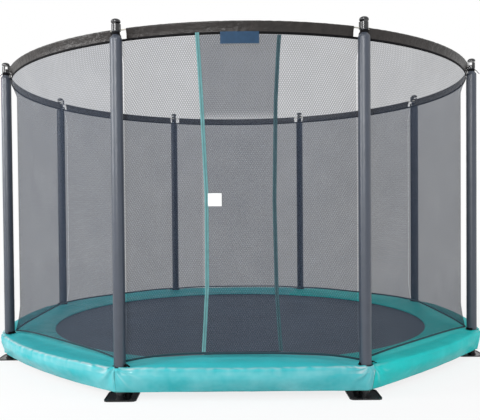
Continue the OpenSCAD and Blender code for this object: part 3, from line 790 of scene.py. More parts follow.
class TRAMPOLINE_OT_springs(bpy.types.Operator):
    """Wind the springs and hook them into the frame's holes and the mat's rings"""
    bl_idname = "trampoline.add_springs"
    bl_label = "Springs"

    def execute(self, context):
        wire = drawn_wire("zinc_plated_spring_wire")
        path = spring_path()
        radius = sizes().spring_wire / 2
        outline = [(radius * math.cos(t), radius * math.sin(t)) for t in evenly(0, math.tau, WIRE_FACETS)[:-1]]
        for side, name in enumerate(SIDES):
            for place in range(SPRINGS_PER_SIDE):
                turn = side_turn(side) + SPRING_SPACING * (place - SPRINGS_PER_SIDE // 2)
                turned = Matrix.Rotation(math.radians(turn), 3, "Z")
                grid = sweep_grid([turned @ point for point in path], outline)
                spring = closed_form(f"spring_{name}_{place}", grid, wire)
                fit(spring, "springs")
                spring.parent = None
                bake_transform(spring)
        return {"FINISHED"}


def hook(x, z, radius, start, stop):
    """Points of a bend in the wire, from one angle in degrees down to another in steps of 20."""
    return [Vector((x + radius * math.cos(t), 0, z + radius * math.sin(t)))
            for t in [math.radians(angle) for angle in range(start, stop, -20)]]


def spring_path():
    """Centreline of a spring's wire along +X: mat hook, coils that taper at both ends, frame hook."""
    axis = MAT_HEIGHT
    hook_x = MAT_RADIUS + mm(25)
    coil_from, coil_to = hook_x + mm(11), FRAME_RADIUS - mm(34)
    turns = int(sizes().spring_turns)
    full = (sizes().spring_diameter - sizes().spring_wire) / 2
    path = hook(hook_x, axis, mm(5), 255, -1) + [Vector((coil_from - mm(2), 0, axis))]
    for way in evenly(0, 1, turns * 10):
        radius = full * min(1, 0.25 + 6 * way, 0.25 + 6 * (1 - way))
        turn = math.tau * turns * way
        path.append(Vector((coil_from + (coil_to - coil_from) * way, radius * math.sin(turn),
                            axis + radius * math.cos(turn))))
    return path + hook(FRAME_RADIUS - mm(21), axis + mm(11), mm(13), 220, -21)


# ---------------------------------------------------------------- pad

# Degrees past each side's last pole at which one pad's end lies over the next one's
SEAM_SHIFTS = (0.9, 1.3, 1.3, 1.3, 1.3, 1.3, 1.3, 0.05)
# Degrees that a covered end reaches under its neighbour's, and that its closing strip shows beside it
TUCK, SEEN_OF_CLOSER = 0.25, 0.05
# Degrees before each pole where the skirt's small folds have died out
STILL_BEFORE_POLE = 1.3
PAD_STEPS = 120
# Heights between which the poles' holes are cut, under and over the whole pad
CUT_FROM, CUT_TO = 0.1, 0.3
# Height of the middle of the skirt, outside and inside, and how far its top lies under the crown
SKIRT_MIDDLE, SKIRT_MIDDLE_INSIDE = mm(128), mm(126)
FOLD_DROP = mm(17)
# Radius from which the crown is creased at a pole, and how far from the pole the creases reach
CREASED_FROM, CREASE_REACH = 1.72, 0.2
# Palest that a painted highlight on the pad may be
BRIGHTEST_PAINTED_HIGHLIGHT = 0.9
# Sides that face away from the lamps: their cover is the painted-shade copy, darker and without painted sheen
SHADED_SIDES = ("front_right", "right", "back_right")
# Share of the painted highlight that each side's fold has away from its poles; the sides that face the lamps have most
FOLD_PAINTED_HIGHLIGHT = (0.3, 0, 0, 0, 0.3, 0.3, 0.4, 0.6)
# Folds about a pole's foot as (slope in radians, half width in radians, share of the fold height)
DRAG_FOLDS = (
    (0.28, 0.11, 1.4), (0.58, 0.12, -0.9), (0.9, 0.12, 1.3), (1.25, 0.14, -0.8), (1.62, 0.13, 1.0),
    (1.98, 0.13, -0.9), (2.32, 0.12, 1.2), (2.6, 0.11, -0.8), (2.88, 0.1, 1.3),
)


class TRAMPOLINE_OT_pad(bpy.types.Operator):
    """Make the eight segments of the spring pad with crown, fold and skirt, and the pole cut-outs' linings"""
    bl_idname = "trampoline.add_pad"
    bl_label = "Spring pad"

    def execute(self, context):
        # Lit and shaded copies of the cover: painted shade on the sides that face away from the lamps, painted sheen
        # in pale patches on the others
        shaded_side_vinyl = pad_vinyl("pvc_coated_polyester_turquoise", colours().pad_shaded, pale=0.0, coat=0.08)
        with_painted_sheen = pad_vinyl("pvc_coated_polyester_turquoise_painted_sheen", colours().pad, pale=0.15, coat=0.2)
        hem_tape = tape_cloth("polyester_hem_tape", linear("3E8F8C"))
        strip = tape_cloth("polyester_hook_strip", linear("319391"))
        # Darker copy of the hook strip: painted shadow of the gap where the front-left pad's end goes under the front
        # pad
        gap_shadow_strip = tape_cloth("polyester_hook_strip_painted_gap_shadow", linear("24605F"))
        for side, name in enumerate(SIDES):
            start, stop = pad_ends(side)
            pad = pad_segment(side, start, stop, shaded_side_vinyl if name in SHADED_SIDES else with_painted_sheen)
            pieces = [pad, skirt_hem(side, start, stop, hem_tape)]
            if side:
                pieces.append(seam_closer(side, "start", start, 1, strip))
            if side == LAST_SIDE:
                # This end's strip is dark as painted shadow of the seam's gap
                pieces.append(seam_closer(side, "stop", stop, -1, gap_shadow_strip))
            for piece in pieces:
                fit(piece, "pad_" + name)
        dress(["pad_trims"], webbing(colours().webbing))
        return {"FINISHED"}


def pad_ends(side):
    """The front pad runs past both of its poles, and each other pad runs past one. An end that stops short of
    its pole reaches a little way under its neighbour's."""
    before, past = SEAM_SHIFTS[side - 1], SEAM_SHIFTS[side]
    start = -HALF_SIDE - before + 0.02 if side == 0 else -HALF_SIDE + before - TUCK
    stop = HALF_SIDE - past + TUCK if side == LAST_SIDE else HALF_SIDE + past - 0.02
    return start, stop


def skirt_middle(fold, hem):
    return max(fold - mm(3), hem + mm(3))


def skirt_line(side, turn):
    """Outside of the skirt as (radius, height), from under the fold to the hem."""
    fold, hem = fold_radius(side, turn), hem_radius(side, turn)
    return [(fold, PAD_TOP - sag(turn) - FOLD_DROP), (skirt_middle(fold, hem), SKIRT_MIDDLE), (hem, HEM_HEIGHT)]


def pad_outside(side, turn):
    """Outside of the pad's section as (radius, height): crown, fold and skirt."""
    fold = fold_radius(side, turn)
    inner, up = PAD_INNER_RADIUS, bulge(side, turn)
    top = PAD_TOP - sag(turn)
    return [(inner, mm(161) + up / 2), (inner + mm(9), mm(171) + 0.7 * up), (inner + mm(70), mm(179) + up),
            (inner + 0.55 * (fold - inner), (PAD_TOP + top) / 2 - mm(6.5) + 0.6 * up),
            (fold - mm(80), top + 0.4 * up), (fold - mm(20), top), (fold - mm(5), top - mm(5)),
            *skirt_line(side, turn)]


def pad_inside(side, turn):
    """Underside: over the springs, hooks and frame, then up behind the skirt."""
    fold, hem = fold_radius(side, turn), hem_radius(side, turn)
    inner, up, down = PAD_INNER_RADIUS, bulge(side, turn), sag(turn)
    return [(inner + mm(3), mm(155.5) + up / 2), (inner + mm(12), mm(155.5) + up / 2),
            (MAT_RADIUS + mm(8), mm(158) + up / 2), (MAT_RADIUS + mm(42), mm(169) + 0.4 * up),
            (FRAME_RADIUS - mm(55), mm(171) + 0.2 * up), (FRAME_RADIUS - mm(36), mm(177.5)),
            (fold - mm(12), mm(177.5) - 0.7 * down), (fold - SKIRT_THICKNESS - mm(1), PAD_TOP - mm(27) - down),
            (skirt_middle(fold, hem) - SKIRT_THICKNESS, SKIRT_MIDDLE_INSIDE), (hem - SKIRT_THICKNESS, HEM_HEIGHT)]


def tuck(side, turn):
    """How far a pad's cover is drawn in where its end goes under its neighbour's."""
    start, stop = pad_ends(side)
    under = [] if side == 0 else [turn - start]
    if side == LAST_SIDE:
        under.append(stop - turn)
    return sum(mm(4) * max(0, 1 - reach / 0.9) ** 2 for reach in under)


def drag_folds(side, turn, below):
    """Share of the skirt's fold height in the folds that fan out from where a pole presses the pad down. They
    run on unbroken from one pad to the next."""
    corner = side if turn > 0 else (side - 1) % len(SIDES)
    across = math.radians(turn - math.copysign(HALF_SIDE, turn)) * POLE_CIRCLE
    reach = math.hypot(across, below)
    strength = bell(reach, 0.16) * min(1, reach / mm(40))
    lean = math.atan2(below, across) + 0.2 * wander(reach, 0, size=0.08, seed=corner) + 0.1 * math.sin(7 * corner)
    return strength * sum(high * bell(lean - at, wide) for at, wide, high in DRAG_FOLDS)


def skirt_shift(side, turn, height):
    """How far the skirt's cloth stands out of its plain form at a height."""
    depth = clamp((PAD_TOP - mm(12) - height) / mm(110))
    from_pole = clamp((HALF_SIDE - STILL_BEFORE_POLE - abs(turn)) / 3)
    along = math.radians(turn) * POLE_CIRCLE
    soft = wander(along, height, size=0.17, seed=3.7 * side)
    small = wander(along * 1.8, height * 0.5, size=0.07, seed=9.1 + side)
    folds = depth * from_pole * (0.55 * soft + 0.25 * small) + drag_folds(side, turn, PAD_TOP - height)
    return sizes().skirt_fold * folds - tuck(side, turn)


def crown_lift(side, turn, radius):
    """How far the crown's cloth stands over its plain form."""
    along = math.radians(turn) * POLE_CIRCLE
    aside = math.radians(HALF_SIDE - abs(turn)) * POLE_CIRCLE
    inward = clamp((radius - PAD_INNER_RADIUS) / mm(60))
    near_pole = bell(aside, CREASE_REACH) * clamp((radius - CREASED_FROM) / 0.1)
    soft = wander(along, radius * 0.6, size=0.15, seed=21 + side)
    pinch = crease(along * 0.5, radius, size=0.045, seed=31 + side)
    rolled = bell(fold_radius(side, turn) - radius - mm(22) - 0.12 * aside, mm(13)) * near_pole
    puckers = 0.6 * soft + (0.25 + 1.2 * near_pole) * (pinch - 0.25) + 2.2 * rolled
    return sizes().pad_pucker * inward * puckers - tuck(side, turn)


def pad_section(side, turn):
    """Closed section of the pad at an angle, with its puckers and folds."""
    fold = fold_radius(side, turn)
    loop = []
    for radius, height in smooth_line(pad_outside(side, turn), 8):
        if height > PAD_TOP - mm(40) and radius < fold - mm(6):
            height += crown_lift(side, turn, radius)
        else:
            radius += skirt_shift(side, turn, height)
        loop.append((radius, height))
    for radius, height in reversed(smooth_line(pad_inside(side, turn), 3)):
        if height < PAD_TOP - mm(30) and radius > fold - mm(30):
            radius += skirt_shift(side, turn, height)
        loop.append((radius, height))
    return loop


def turns_between(start, stop, steps):
    """Angles across a side that stand closest together near its poles, where the cloth has its finest folds."""
    middle, half = (start + stop) / 2, (stop - start) / 2
    return [middle + half * math.sin(math.pi * (i / steps - 0.5)) for i in range(steps + 1)]


def pad_segment(side, start, stop, material):
    """One segment of the pad, cut out round its two poles."""
    turns = turns_between(start, stop, PAD_STEPS)
    sections = [pad_section(side, turn) for turn in turns]
    grid = [[polar(section[row][0], side_turn(side) + turn, section[row][1])
             for section, turn in zip(sections, turns)] for row in range(len(sections[0]))]
    pad = closed_form("pad_segment_" + SIDES[side], grid, material)
    for corner in (side, (side - 1) % len(SIDES)):
        cut_round(pad, polar(POLE_CIRCLE, corner_turn(corner), 0), PAD_CUT_RADIUS, CUT_FROM, CUT_TO)
    mark_painted_highlights(pad, side, stop)
    return pad


def mark_painted_highlights(pad, side, stop):
    """Note on each of a pad's points how much painted highlight it gets: on the crease round each pole's foot,
    in broken streaks along the fold's crest, on the skirt's drag folds and on the front skirt's free edge."""
    fold_highlight = FOLD_PAINTED_HIGHLIGHT[side]
    marks = []
    for vertex in pad.data.vertices:
        x, y, height = vertex.co
        turn = (math.degrees(math.atan2(y, x)) - side_turn(side) + 180) % 360 - 180
        radius = math.hypot(x, y)
        aside = abs(math.radians(abs(turn) - HALF_SIDE) * POLE_CIRCLE)
        along = math.radians(turn) * POLE_CIRCLE
        on_skirt = clamp((PAD_TOP - mm(25) - height) / mm(20))
        mark = 0.3 * max(0, drag_folds(side, turn, PAD_TOP - height) - 0.45) * on_skirt
        if height > PAD_TOP - mm(45):
            crest = fold_radius(side, turn) - mm(11) + mm(5) * wander(along, 0, size=0.06, seed=side)
            highlight_share = max(bell(aside, CREASE_REACH), fold_highlight) if fold_highlight else 0.3 * bell(aside, 0.1)
            broken = clamp(0.75 + 1.6 * wander(along, radius, size=0.035, seed=40 + side))
            mark += bell(radius - crest, mm(9)) * highlight_share * min(1, 0.2 + aside / 0.08) * broken
        if side == 0:
            mark += 0.5 * bell(turn - stop, 0.12) * on_skirt
        marks.append(min(BRIGHTEST_PAINTED_HIGHLIGHT, mark))
    pad.data.attributes.new("painted_highlight", "FLOAT", "POINT").data.foreach_set("value", marks)


def skirt_hem(side, start, stop, material):
    """Narrow tape folded over the skirt's lower edge."""
    outline = ((mm(1.0), mm(7)), (mm(1.2), mm(0.5)),
               (-SKIRT_THICKNESS - mm(1.2), mm(0.5)), (-SKIRT_THICKNESS - mm(1.0), mm(7)))
    stations = [(turn, hem_radius(side, turn) + skirt_shift(side, turn, HEM_HEIGHT))
                for turn in turns_between(start, stop, PAD_STEPS)]
    grid = [[polar(radius + out, side_turn(side) + turn, HEM_HEIGHT + up) for turn, radius in stations]
            for out, up in outline]
    return closed_form("skirt_hem_" + SIDES[side], grid, material)


def seam_closer(side, end_name, end, inward, material):
    """Hook-and-loop strip on a skirt's tucked end, of which a narrow edge shows beside the neighbour's."""
    def rows_at(out):
        return [[polar(radius + skirt_shift(side, turn, height) + out, side_turn(side) + turn, height)
                 for radius, height in smooth_line(skirt_line(side, turn), 12)]
                for turn in evenly(end, end + inward * (TUCK + SEEN_OF_CLOSER), 4)]

    return closed_form(f"seam_closer_{SIDES[side]}_{end_name}", two_layers((mm(0.9), mm(0.2)), rows_at), material)


# ---------------------------------------------------------------- poles

SLEEVE_BORE_RADIUS = mm(19.4)
NECK_RADIUS = mm(21.6)
NECK_PLEATS = 11
SHOULDER = SLEEVE_TOP - mm(43)
# Angle about each pole where its sleeve closes, in degrees from straight out. All face the net.
CLOSING_TURNS = (115, 145, 160, 180, 180, 200, 215, 245)


class TRAMPOLINE_OT_poles(bpy.types.Operator):
    """Make the foam sleeves with their tied necks and closing strips"""
    bl_idname = "trampoline.add_sleeves"
    bl_label = "Pole sleeves"

    def execute(self, context):
        vinyl = sleeve_vinyl(colours().sleeve)
        strip = tape_cloth("polyester_hook_and_loop_strip", linear("131519"))
        for corner in CORNERS:
            fit(pole_sleeve(corner, vinyl), f"sleeve_{corner}")
            fit(closing_strip(corner, strip), "sleeve_seams")
        return {"FINISHED"}


def sleeve_surface(corner, turn, height):
    """Radius of a sleeve's cloth about its pole, with its puckers and tied neck."""
    plain = between((
        (SLEEVE_FOOT, SLEEVE_RADIUS - mm(1.5)), (SLEEVE_FOOT + mm(5), SLEEVE_RADIUS - mm(0.4)),
        (SHOULDER, SLEEVE_RADIUS - mm(0.4)), (SHOULDER + mm(8), SLEEVE_RADIUS - mm(3)),
        (SHOULDER + mm(15), NECK_RADIUS + mm(3)), (SHOULDER + mm(21), NECK_RADIUS), (SLEEVE_TOP, NECK_RADIUS),
    ), height)
    tied = clamp((height - SHOULDER + mm(12)) / mm(22))
    untied = 1 - clamp((height - SHOULDER - mm(14)) / mm(8))
    pleats = sizes().neck_pleat * tied * untied * math.cos(math.radians(turn) * NECK_PLEATS + corner)
    girth = math.radians((turn + 180) % 360 - 180) * SLEEVE_RADIUS
    swell = mm(0.5) * wander(girth * math.cos(math.radians(turn)), height * 0.35, size=0.07, seed=corner)
    seam = math.radians(abs((turn - CLOSING_TURNS[corner] + 180) % 360 - 180)) * SLEEVE_RADIUS
    pucker = mm(0.42) * bell(seam, mm(22)) * math.sin(height / mm(7) + 2 * wander(height, 0, size=0.1))
    return plain - max(0, pleats) + (swell + pucker) * (1 - tied)


def pole_sleeve(corner, material):
    heights = [SLEEVE_FOOT, SLEEVE_FOOT + mm(2), SLEEVE_FOOT + mm(5)]
    heights += evenly(SLEEVE_FOOT + mm(8), SHOULDER - mm(12), 110)
    heights += [SHOULDER - mm(12) + mm(3.6) * i for i in range(1, 11)] + [SLEEVE_TOP - mm(8), SLEEVE_TOP]
    grid = []
    for turn in evenly(0, 360, 56)[:-1]:
        column = [(SLEEVE_BORE_RADIUS, SLEEVE_FOOT)]
        column += [(sleeve_surface(corner, turn, z), z) for z in heights]
        column.append((SLEEVE_BORE_RADIUS, SLEEVE_TOP))
        grid.append([about_pole(corner, radius, turn, z) for radius, z in column])
    return surface(f"pole_sleeve_{corner}", grid, material, joined=True)


def closing_strip(corner, material):
    """Black strip that closes a sleeve, bent round it and lifted a little along its free edges. One that faces
    straight in stops short of the ring's tie."""
    middle = CLOSING_TURNS[corner]
    high = SHOULDER - mm(2) if abs(middle - 180) > 45 else BINDING_FOOT - mm(12)
    half = math.degrees(mm(17) / SLEEVE_RADIUS)

    def rows_at(out):
        rows = []
        for share in evenly(-1, 1, 8):
            lift = mm(0.5) * abs(share) ** 3 if out > mm(1) else 0
            rows.append([about_pole(
                corner, SLEEVE_RADIUS + out + lift * wander(z, 0, size=0.05, seed=corner), middle + half * share, z)
                for z in evenly(PAD_TOP + mm(8), high, 90)])
        return rows

    return closed_form(f"closing_strip_{corner}", two_layers((mm(1.6), mm(0.3)), rows_at), material)


class TRAMPOLINE_OT_caps(bpy.types.Operator):
    """Finish the pole caps and the rods that they hold"""
    bl_idname = "trampoline.add_caps"
    bl_label = "Caps and rods"

    def execute(self, context):
        dress(["pole_caps"], moulded_cap(colours().cap))
        dress(["ring_rods"], pultruded_rod(colours().rod))
        return {"FINISHED"}


# ---------------------------------------------------------------- ring

# How far the ring's cloth stops short of each pole's axis, on the rods and at its foot
CUT_TOP, CUT_FOOT = mm(54), mm(48)
TUNNEL_RADIUS = mm(7.6)
TIE_WIDTH = mm(18)
TIE_LOOP_RADIUS = mm(23.2)
# Poles whose tie hangs out loose
LOOSE_TIES = (1, 6)


class TRAMPOLINE_OT_ring(bpy.types.Operator):
    """Make the cloth round the rods, its lower binding and the ties to the poles"""
    bl_idname = "trampoline.add_ring"
    bl_label = "Ring cloth and ties"

    def execute(self, context):
        cloth = ring_vinyl(colours().ring)
        black = webbing(colours().webbing)
        for side in range(len(SIDES)):
            band = fit(ring_band(side, cloth), "ring_sleeve")
            fit(ring_binding(side, black), "ring_binding")
        for corner in CORNERS:
            fit(neck_tie(corner, black), "top_ties")
        return {"FINISHED"}


def ring_section():
    """Cloth from its lower edge inside, over the rod's tunnel, to its lower edge outside, as (out, up)
    from the rod's line."""
    fall = BINDING_RADIUS - ROD_RING_RADIUS
    foot = BINDING_TOP + mm(0.4) - ROD_HEIGHT
    skirt = ((fall, mm(1.3), foot), (fall * 0.75, mm(1.6), foot * 0.72), (fall / 2, mm(2.2), foot * 0.45))
    over = [(TUNNEL_RADIUS * math.cos(math.radians(a)), TUNNEL_RADIUS * math.sin(math.radians(a)))
            for a in range(205, -26, -23)]
    return ([(out - half, up) for out, half, up in skirt] + over
            + [(out + half, up) for out, half, up in reversed(skirt)])


def gather(along, up, side):
    """Depth of the gathers in the ring's cloth."""
    fine = wander(along, up * 0.4, size=0.022, seed=50 + side)
    broad = wander(along + up * 0.5, up, size=0.08, seed=60 + side)
    return sizes().ring_gather * 0.45 * (fine + broad)


def ring_band(side, material):
    grid = []
    for out, up in ring_section():
        hang = max(0, -up) / (ROD_HEIGHT - BINDING_TOP)
        end = HALF_SIDE - math.degrees((CUT_TOP + (CUT_FOOT - CUT_TOP) * hang) / ROD_RING_RADIUS)
        row = []
        for turn in evenly(-end, end, 150):
            along = math.radians(turn) * ROD_RING_RADIUS
            shift = gather(along, up, side) * min(1, hang * 2.5) * (1 - 0.6 * hang)
            puff = mm(1.2) * wander(along, 0, size=0.03, seed=70 + side) * (1 - min(1, hang * 3))
            spread = 1 + puff / TUNNEL_RADIUS
            row.append(polar(ROD_RING_RADIUS + out * spread + shift, side_turn(side) + turn, ROD_HEIGHT + up * spread))
        grid.append(row)
    return surface("ring_cloth_" + SIDES[side], grid, material)


def ring_binding(side, material):
    half_thick, end = mm(1.6), HALF_SIDE - 0.02
    outline = ((half_thick, BINDING_FOOT), (half_thick, BINDING_TOP),
               (-half_thick, BINDING_TOP), (-half_thick, BINDING_FOOT))
    grid = [[polar(BINDING_RADIUS + out, side_turn(side) + turn, height) for turn in evenly(-end, end, 120)]
            for out, height in outline]
    return closed_form("ring_binding_" + SIDES[side], grid, material)


def neck_tie(corner, material):
    """Webbing from the ring's binding to a buckle-free loop round the sleeve's neck."""
    across = polar(1, corner_turn(corner) + 90, 0)
    drop = BINDING_RADIUS - POLE_CIRCLE - mm(3.4)
    loop = TIE_LOOP_RADIUS
    top = SLEEVE_TOP - mm(12)

    def strap(name, places):
        path = smooth_line([about_pole(corner, reach, 0, height) for reach, height in places], 5)
        return ribbon(name, path, TIE_WIDTH, mm(2.2), across, material)

    parts = [strap("tie", ((drop, BINDING_FOOT + mm(2)), (drop, BINDING_TOP + mm(8)), (drop + mm(1), top - mm(6)),
                           (drop + mm(7), top + mm(1)), (-loop - mm(1), top + mm(2))))]
    ring = [[about_pole(corner, loop + out, 8 * k, top + up) for k in range(46)]
            for out, up in ((-mm(1.2), mm(9)), (mm(1.2), mm(8.6)), (mm(1.2), -mm(8.6)), (-mm(1.2), -mm(9)))]
    parts.append(surface("tie_loop", ring, material, joined=True))
    if corner in LOOSE_TIES:
        parts.append(strap("tie_end", ((loop + mm(0.5), top + mm(2)), (loop + mm(8), top - mm(3)),
                                       (loop + mm(17), top - mm(14)), (loop + mm(27), top - mm(26)),
                                       (loop + mm(33), top - mm(30)))))
    return joined_up(f"neck_tie_{corner}", parts)


# ---------------------------------------------------------------- net

NET_COLUMNS = 44
NET_ROWS = 64
# Degrees that a panel stops short of its poles, and that a flap stops inside its tape's middle
NET_GAP, TAPE_COVER = 0.06, 0.1
NET_HEM_HALF = mm(7)
# Height over the hem's foot at which the panel's cloth starts
CLOTH_OVER_HEM = mm(14.3)
# Half the way round the tape's outline, for the painted shade along its stitch line on its UVs
TAPE_HALF_GIRTH = mm(25.7)
THINNING = 0.8


class TRAMPOLINE_OT_net(bpy.types.Operator):
    """Hang the net's panels, the doorway's two flaps, the hem and its loops"""
    bl_idname = "trampoline.add_net"
    bl_label = "Safety net"

    def execute(self, context):
        knit = knitted_net("knitted_polyethylene_net", colours().net)
        door_knit = knitted_net("knitted_polyethylene_net_doorway", colours().net, THINNING)
        black = webbing(colours().webbing)
        elastic = tape_cloth("elasticated_polyester_tape", linear("1E3A42"))
        tape = tape_cloth("stitched_polyester_door_tape", colours().door, TAPE_HALF_GIRTH)
        end = HALF_SIDE - NET_GAP
        panels = [(side, name, 0, lambda z: -end, lambda z: end) for side, name in enumerate(SIDES) if side]
        panels.append((0, "front_outer", NET_LAP, lambda z: flap_turn(OUTER_EDGE, z) + TAPE_COVER, lambda z: end))
        panels.append((0, "front_inner", -NET_LAP, lambda z: -end, lambda z: flap_turn(INNER_EDGE, z) - TAPE_COVER))
        for side, name, lap, left, right in panels:
            hem = net_hem(side, name, lap, left(NET_FOOT), right(NET_FOOT), elastic)
            fit(hem, "net_hem")
            panel = net_panel(side, name, lap, left, right, door_knit if lap < 0 else knit)
            fit(panel, "net_" + name)
            wide, area = sheet_size(panel)
            tall = NET_TOP - NET_FOOT
            wide = max(wide, area / tall)
        for name, lap, edge in (("outer", NET_LAP, OUTER_EDGE), ("inner", -NET_LAP, INNER_EDGE)):
            fit(door_edge(name, lap, edge, tape), "door_edge_" + name)
        for corner in CORNERS:
            fit(foot_tie(corner, black), "bottom_ties")
        return {"FINISHED"}


def sheet_size(piece):
    """Width across a hung sheet's foot row, and its whole area, in metres."""
    area = sum(polygon.area for polygon in piece.data.polygons)
    first, last = piece.data.vertices[0].co, piece.data.vertices[NET_COLUMNS].co
    return (last - first).length, area


def net_shift(side, turn, height):
    """How far the net stands out of its plain form: upright folds, most where it is gathered at the top and foot."""
    along = math.radians(turn) * NET_MIDDLE_RADIUS
    held = min(1, (height - NET_FOOT) / 0.12, (NET_TOP - height) / 0.05)
    broad = wander(along, height * 0.22, size=0.3, seed=100 + side)
    pleat = wander(along, height * 0.15, size=0.07, seed=120 + side)
    gathered = 0.15 + 0.5 * bell(NET_TOP - height, 0.25) + 0.4 * bell(height - NET_FOOT, 0.2)
    return sizes().net_fold * max(0, held) * (0.7 * broad + gathered * pleat)


def net_panel(side, name, lap, left, right, material):
    grid = []
    for way in evenly(0, 1, NET_ROWS):
        about = NET_FOOT + way * (NET_TOP - NET_FOOT)
        row = []
        for turn in evenly(left(about), right(about), NET_COLUMNS):
            foot = net_foot(side, turn) + CLOTH_OVER_HEM
            height = foot + way * (NET_TOP - foot)
            reach = min(1, (HALF_SIDE - abs(turn)) / 2)
            folds = net_shift(side, turn, height) * reach * (0.5 if lap else 1)
            radius = net_radius(turn, height) + lap_at(lap, turn, height) + folds
            row.append(polar(radius, side_turn(side) + turn, height))
        grid.append(row)
    return surface("net_panel_" + name, grid, material)


def net_hem(side, name, lap, left, right, material):
    """Elastic binding, rounded and slightly ruched, along a panel's foot."""
    grid = []
    for angle in evenly(0, math.tau, 8)[:-1]:
        out, up = mm(2) * math.cos(angle), NET_HEM_HALF * (1 + math.sin(angle))
        row = []
        for turn in evenly(left, right, 90):
            foot = net_foot(side, turn)
            ruche = mm(0.8) * wander(math.radians(turn) * NET_FOOT_RADIUS, 0, size=0.012, seed=side)
            radius = net_radius(turn, foot) + lap_at(lap, turn, foot) + out + ruche * (1 if out > 0 else 0.3)
            row.append(polar(radius, side_turn(side) + turn, foot + up))
        grid.append(row)
    return closed_form("net_hem_" + name, grid, material)


def on_flap(lap, across, height, out):
    """Point on a flap of the doorway at a distance from the middle of the front."""
    turn = math.degrees(math.atan(across / net_radius(0, height)))
    return polar(net_radius(turn, height) + lap_at(lap, turn, height) + out, side_turn(0) + turn, height)


def door_edge(name, lap, edge, material):
    """Tape folded over a flap's free edge, from above the hem to the ring. The outer one laps over the binding."""
    high = BINDING_TOP - mm(0.5) if lap > 0 else NET_TOP - mm(1)
    stations = []
    for height in evenly(NET_FOOT + mm(60), high, 90):
        sway = mm(0.4) * wander(height, 0, size=0.09, seed=lap * 1000)
        if lap > 0:
            sway += mm(2.8) * clamp(1 - (NET_TOP - height) / mm(20))
        stations.append((height, between(edge, height), sway))
    outline = ((mm(11.5), mm(1)), (mm(10.5), mm(1.9)), (-mm(10.5), mm(1.9)), (-mm(11.5), mm(1)),
               (-mm(11.5), -mm(1)), (-mm(10.5), -mm(1.9)), (mm(10.5), -mm(1.9)), (mm(11.5), -mm(1)))
    grid = [[on_flap(lap, place + across, height, out + sway) for height, place, sway in stations]
            for across, out in outline]
    return closed_form("door_tape_" + name, grid, material)


def foot_tie(corner, material):
    """Elastic loop from the hem round a sleeve's foot."""
    low = PAD_TOP - POLE_SAG + mm(4.5)
    ring = [[about_pole(corner, SLEEVE_RADIUS + out, 80 + 5 * k, low + up) for k in range(41)]
            for out, up in ((mm(0.4), 0), (mm(2.2), mm(1)), (mm(2.2), mm(12)), (mm(0.4), mm(13)))]
    out = polar(1, corner_turn(corner), 0)
    across = polar(1, corner_turn(corner) + 90, 0)
    tab = [about_pole(corner, reach, 0, NET_FOOT + mm(2))
           for reach in evenly(NET_FOOT_RADIUS + mm(2.4) - POLE_CIRCLE, -SLEEVE_RADIUS - mm(1), 4)]
    tail = [about_pole(corner, SLEEVE_RADIUS + reach, 90, low + up) + out * mm(6) for reach, up in
            ((mm(2.5), mm(9)), (mm(12), mm(13)), (mm(24), mm(7)), (mm(34), mm(3)))]
    return joined_up(f"foot_tie_{corner}", [
        closed_form("tie_loop", ring, material),
        ribbon("tie_tab", tab, TIE_WIDTH, mm(3), across, material),
        ribbon("tie_end", smooth_line(tail, 4), mm(15), mm(4), out, material)])


# ---------------------------------------------------------------- labels

LABEL_WIDTH = mm(80)
# Middle and half width of the patch, in degrees from the middle of the front
PATCH_TURN, PATCH_HALF = -0.1, 3.4


class TRAMPOLINE_OT_labels(bpy.types.Operator):
    """Sew on the blank label and the plain patch"""
    bl_idname = "trampoline.add_labels"
    bl_label = "Label and patch"

    def execute(self, context):
        fit(blank_label(tape_cloth("woven_polyester_label", colours().label)), "door_tag")
        fit(ring_patch(tape_cloth("woven_polyester_patch", colours().patch)), "front_patch")
        return {"FINISHED"}


def blank_label(material):
    """Label sewn to the outer flap beside its tape. Its free end curls a little."""
    def rows_at(out):
        rows = []
        for height in evenly(*height_span("door_tag"), 10):
            left = between(OUTER_EDGE, height) + mm(9)
            curl = mm(1.2) * wander(height, 0, size=0.06)
            rows.append([on_flap(NET_LAP, left + LABEL_WIDTH * share, height, mm(2) + out + curl * share ** 2)
                         for share in evenly(0, 1, 10)])
        return rows

    return closed_form("blank_label", two_layers((mm(1.3), mm(0.3)), rows_at), material)


def ring_patch(material):
    """Patch sewn to the ring's cloth over the doorway, waved along its lower edge."""
    low, high = height_span("front_patch")
    radius = BINDING_RADIUS + mm(3.75)

    def rows_at(out):
        rows = []
        for share in evenly(0, 1, 8):
            height = low + (high - low) * share
            row = []
            for turn in evenly(PATCH_TURN - PATCH_HALF, PATCH_TURN + PATCH_HALF, 40):
                wave = mm(1) * wander(math.radians(turn) * radius, height, size=0.07, seed=4) * (1 - share)
                row.append(polar(radius + out + wave, side_turn(0) + turn, height))
            rows.append(row)
        return rows

    return closed_form("ring_patch", two_layers((mm(1.6), 0), rows_at), material)


# ---------------------------------------------------------------- stage

CAMERA_PLACE = Vector((-0.0472, -5.322, 1.1005))
CAMERA_TURN = math.radians(-0.123)
CAMERA_TILT = math.radians(-1.0372)
CAMERA_ROLL = math.radians(-0.4893)
CAMERA_LENS = 45.77
CAMERA_SHIFT = (0.0165, 0.0242)
# Name, place, width in metres, watts, and whether shiny things mirror it
LAMPS = (
    ("key_lamp", (-6.5, -3.0, 3.0), 2.2, 250, True),
    ("front_lamp", (-2.0, -7.5, 3.5), 1.3, 260, True),
    ("fill_lamp", (6.5, -3.5, 3.0), 3.5, 150, False),
    ("top_lamp", (0.0, 0.5, 6.5), 5.0, 100, False),
    ("back_lamp", (2.0, 7.5, 3.0), 4.0, 190, False),
)
LAMP_TARGET = Vector((0, 0, 0.9))
SKY_STRENGTH = 0.32
FLOOR_REACH = 60
# Distances between which the floor goes over into the white surroundings, and their share at the near one
FADE_FROM, FADE_TO, FADE_SHARE = 2.5, 9.0, 0.82


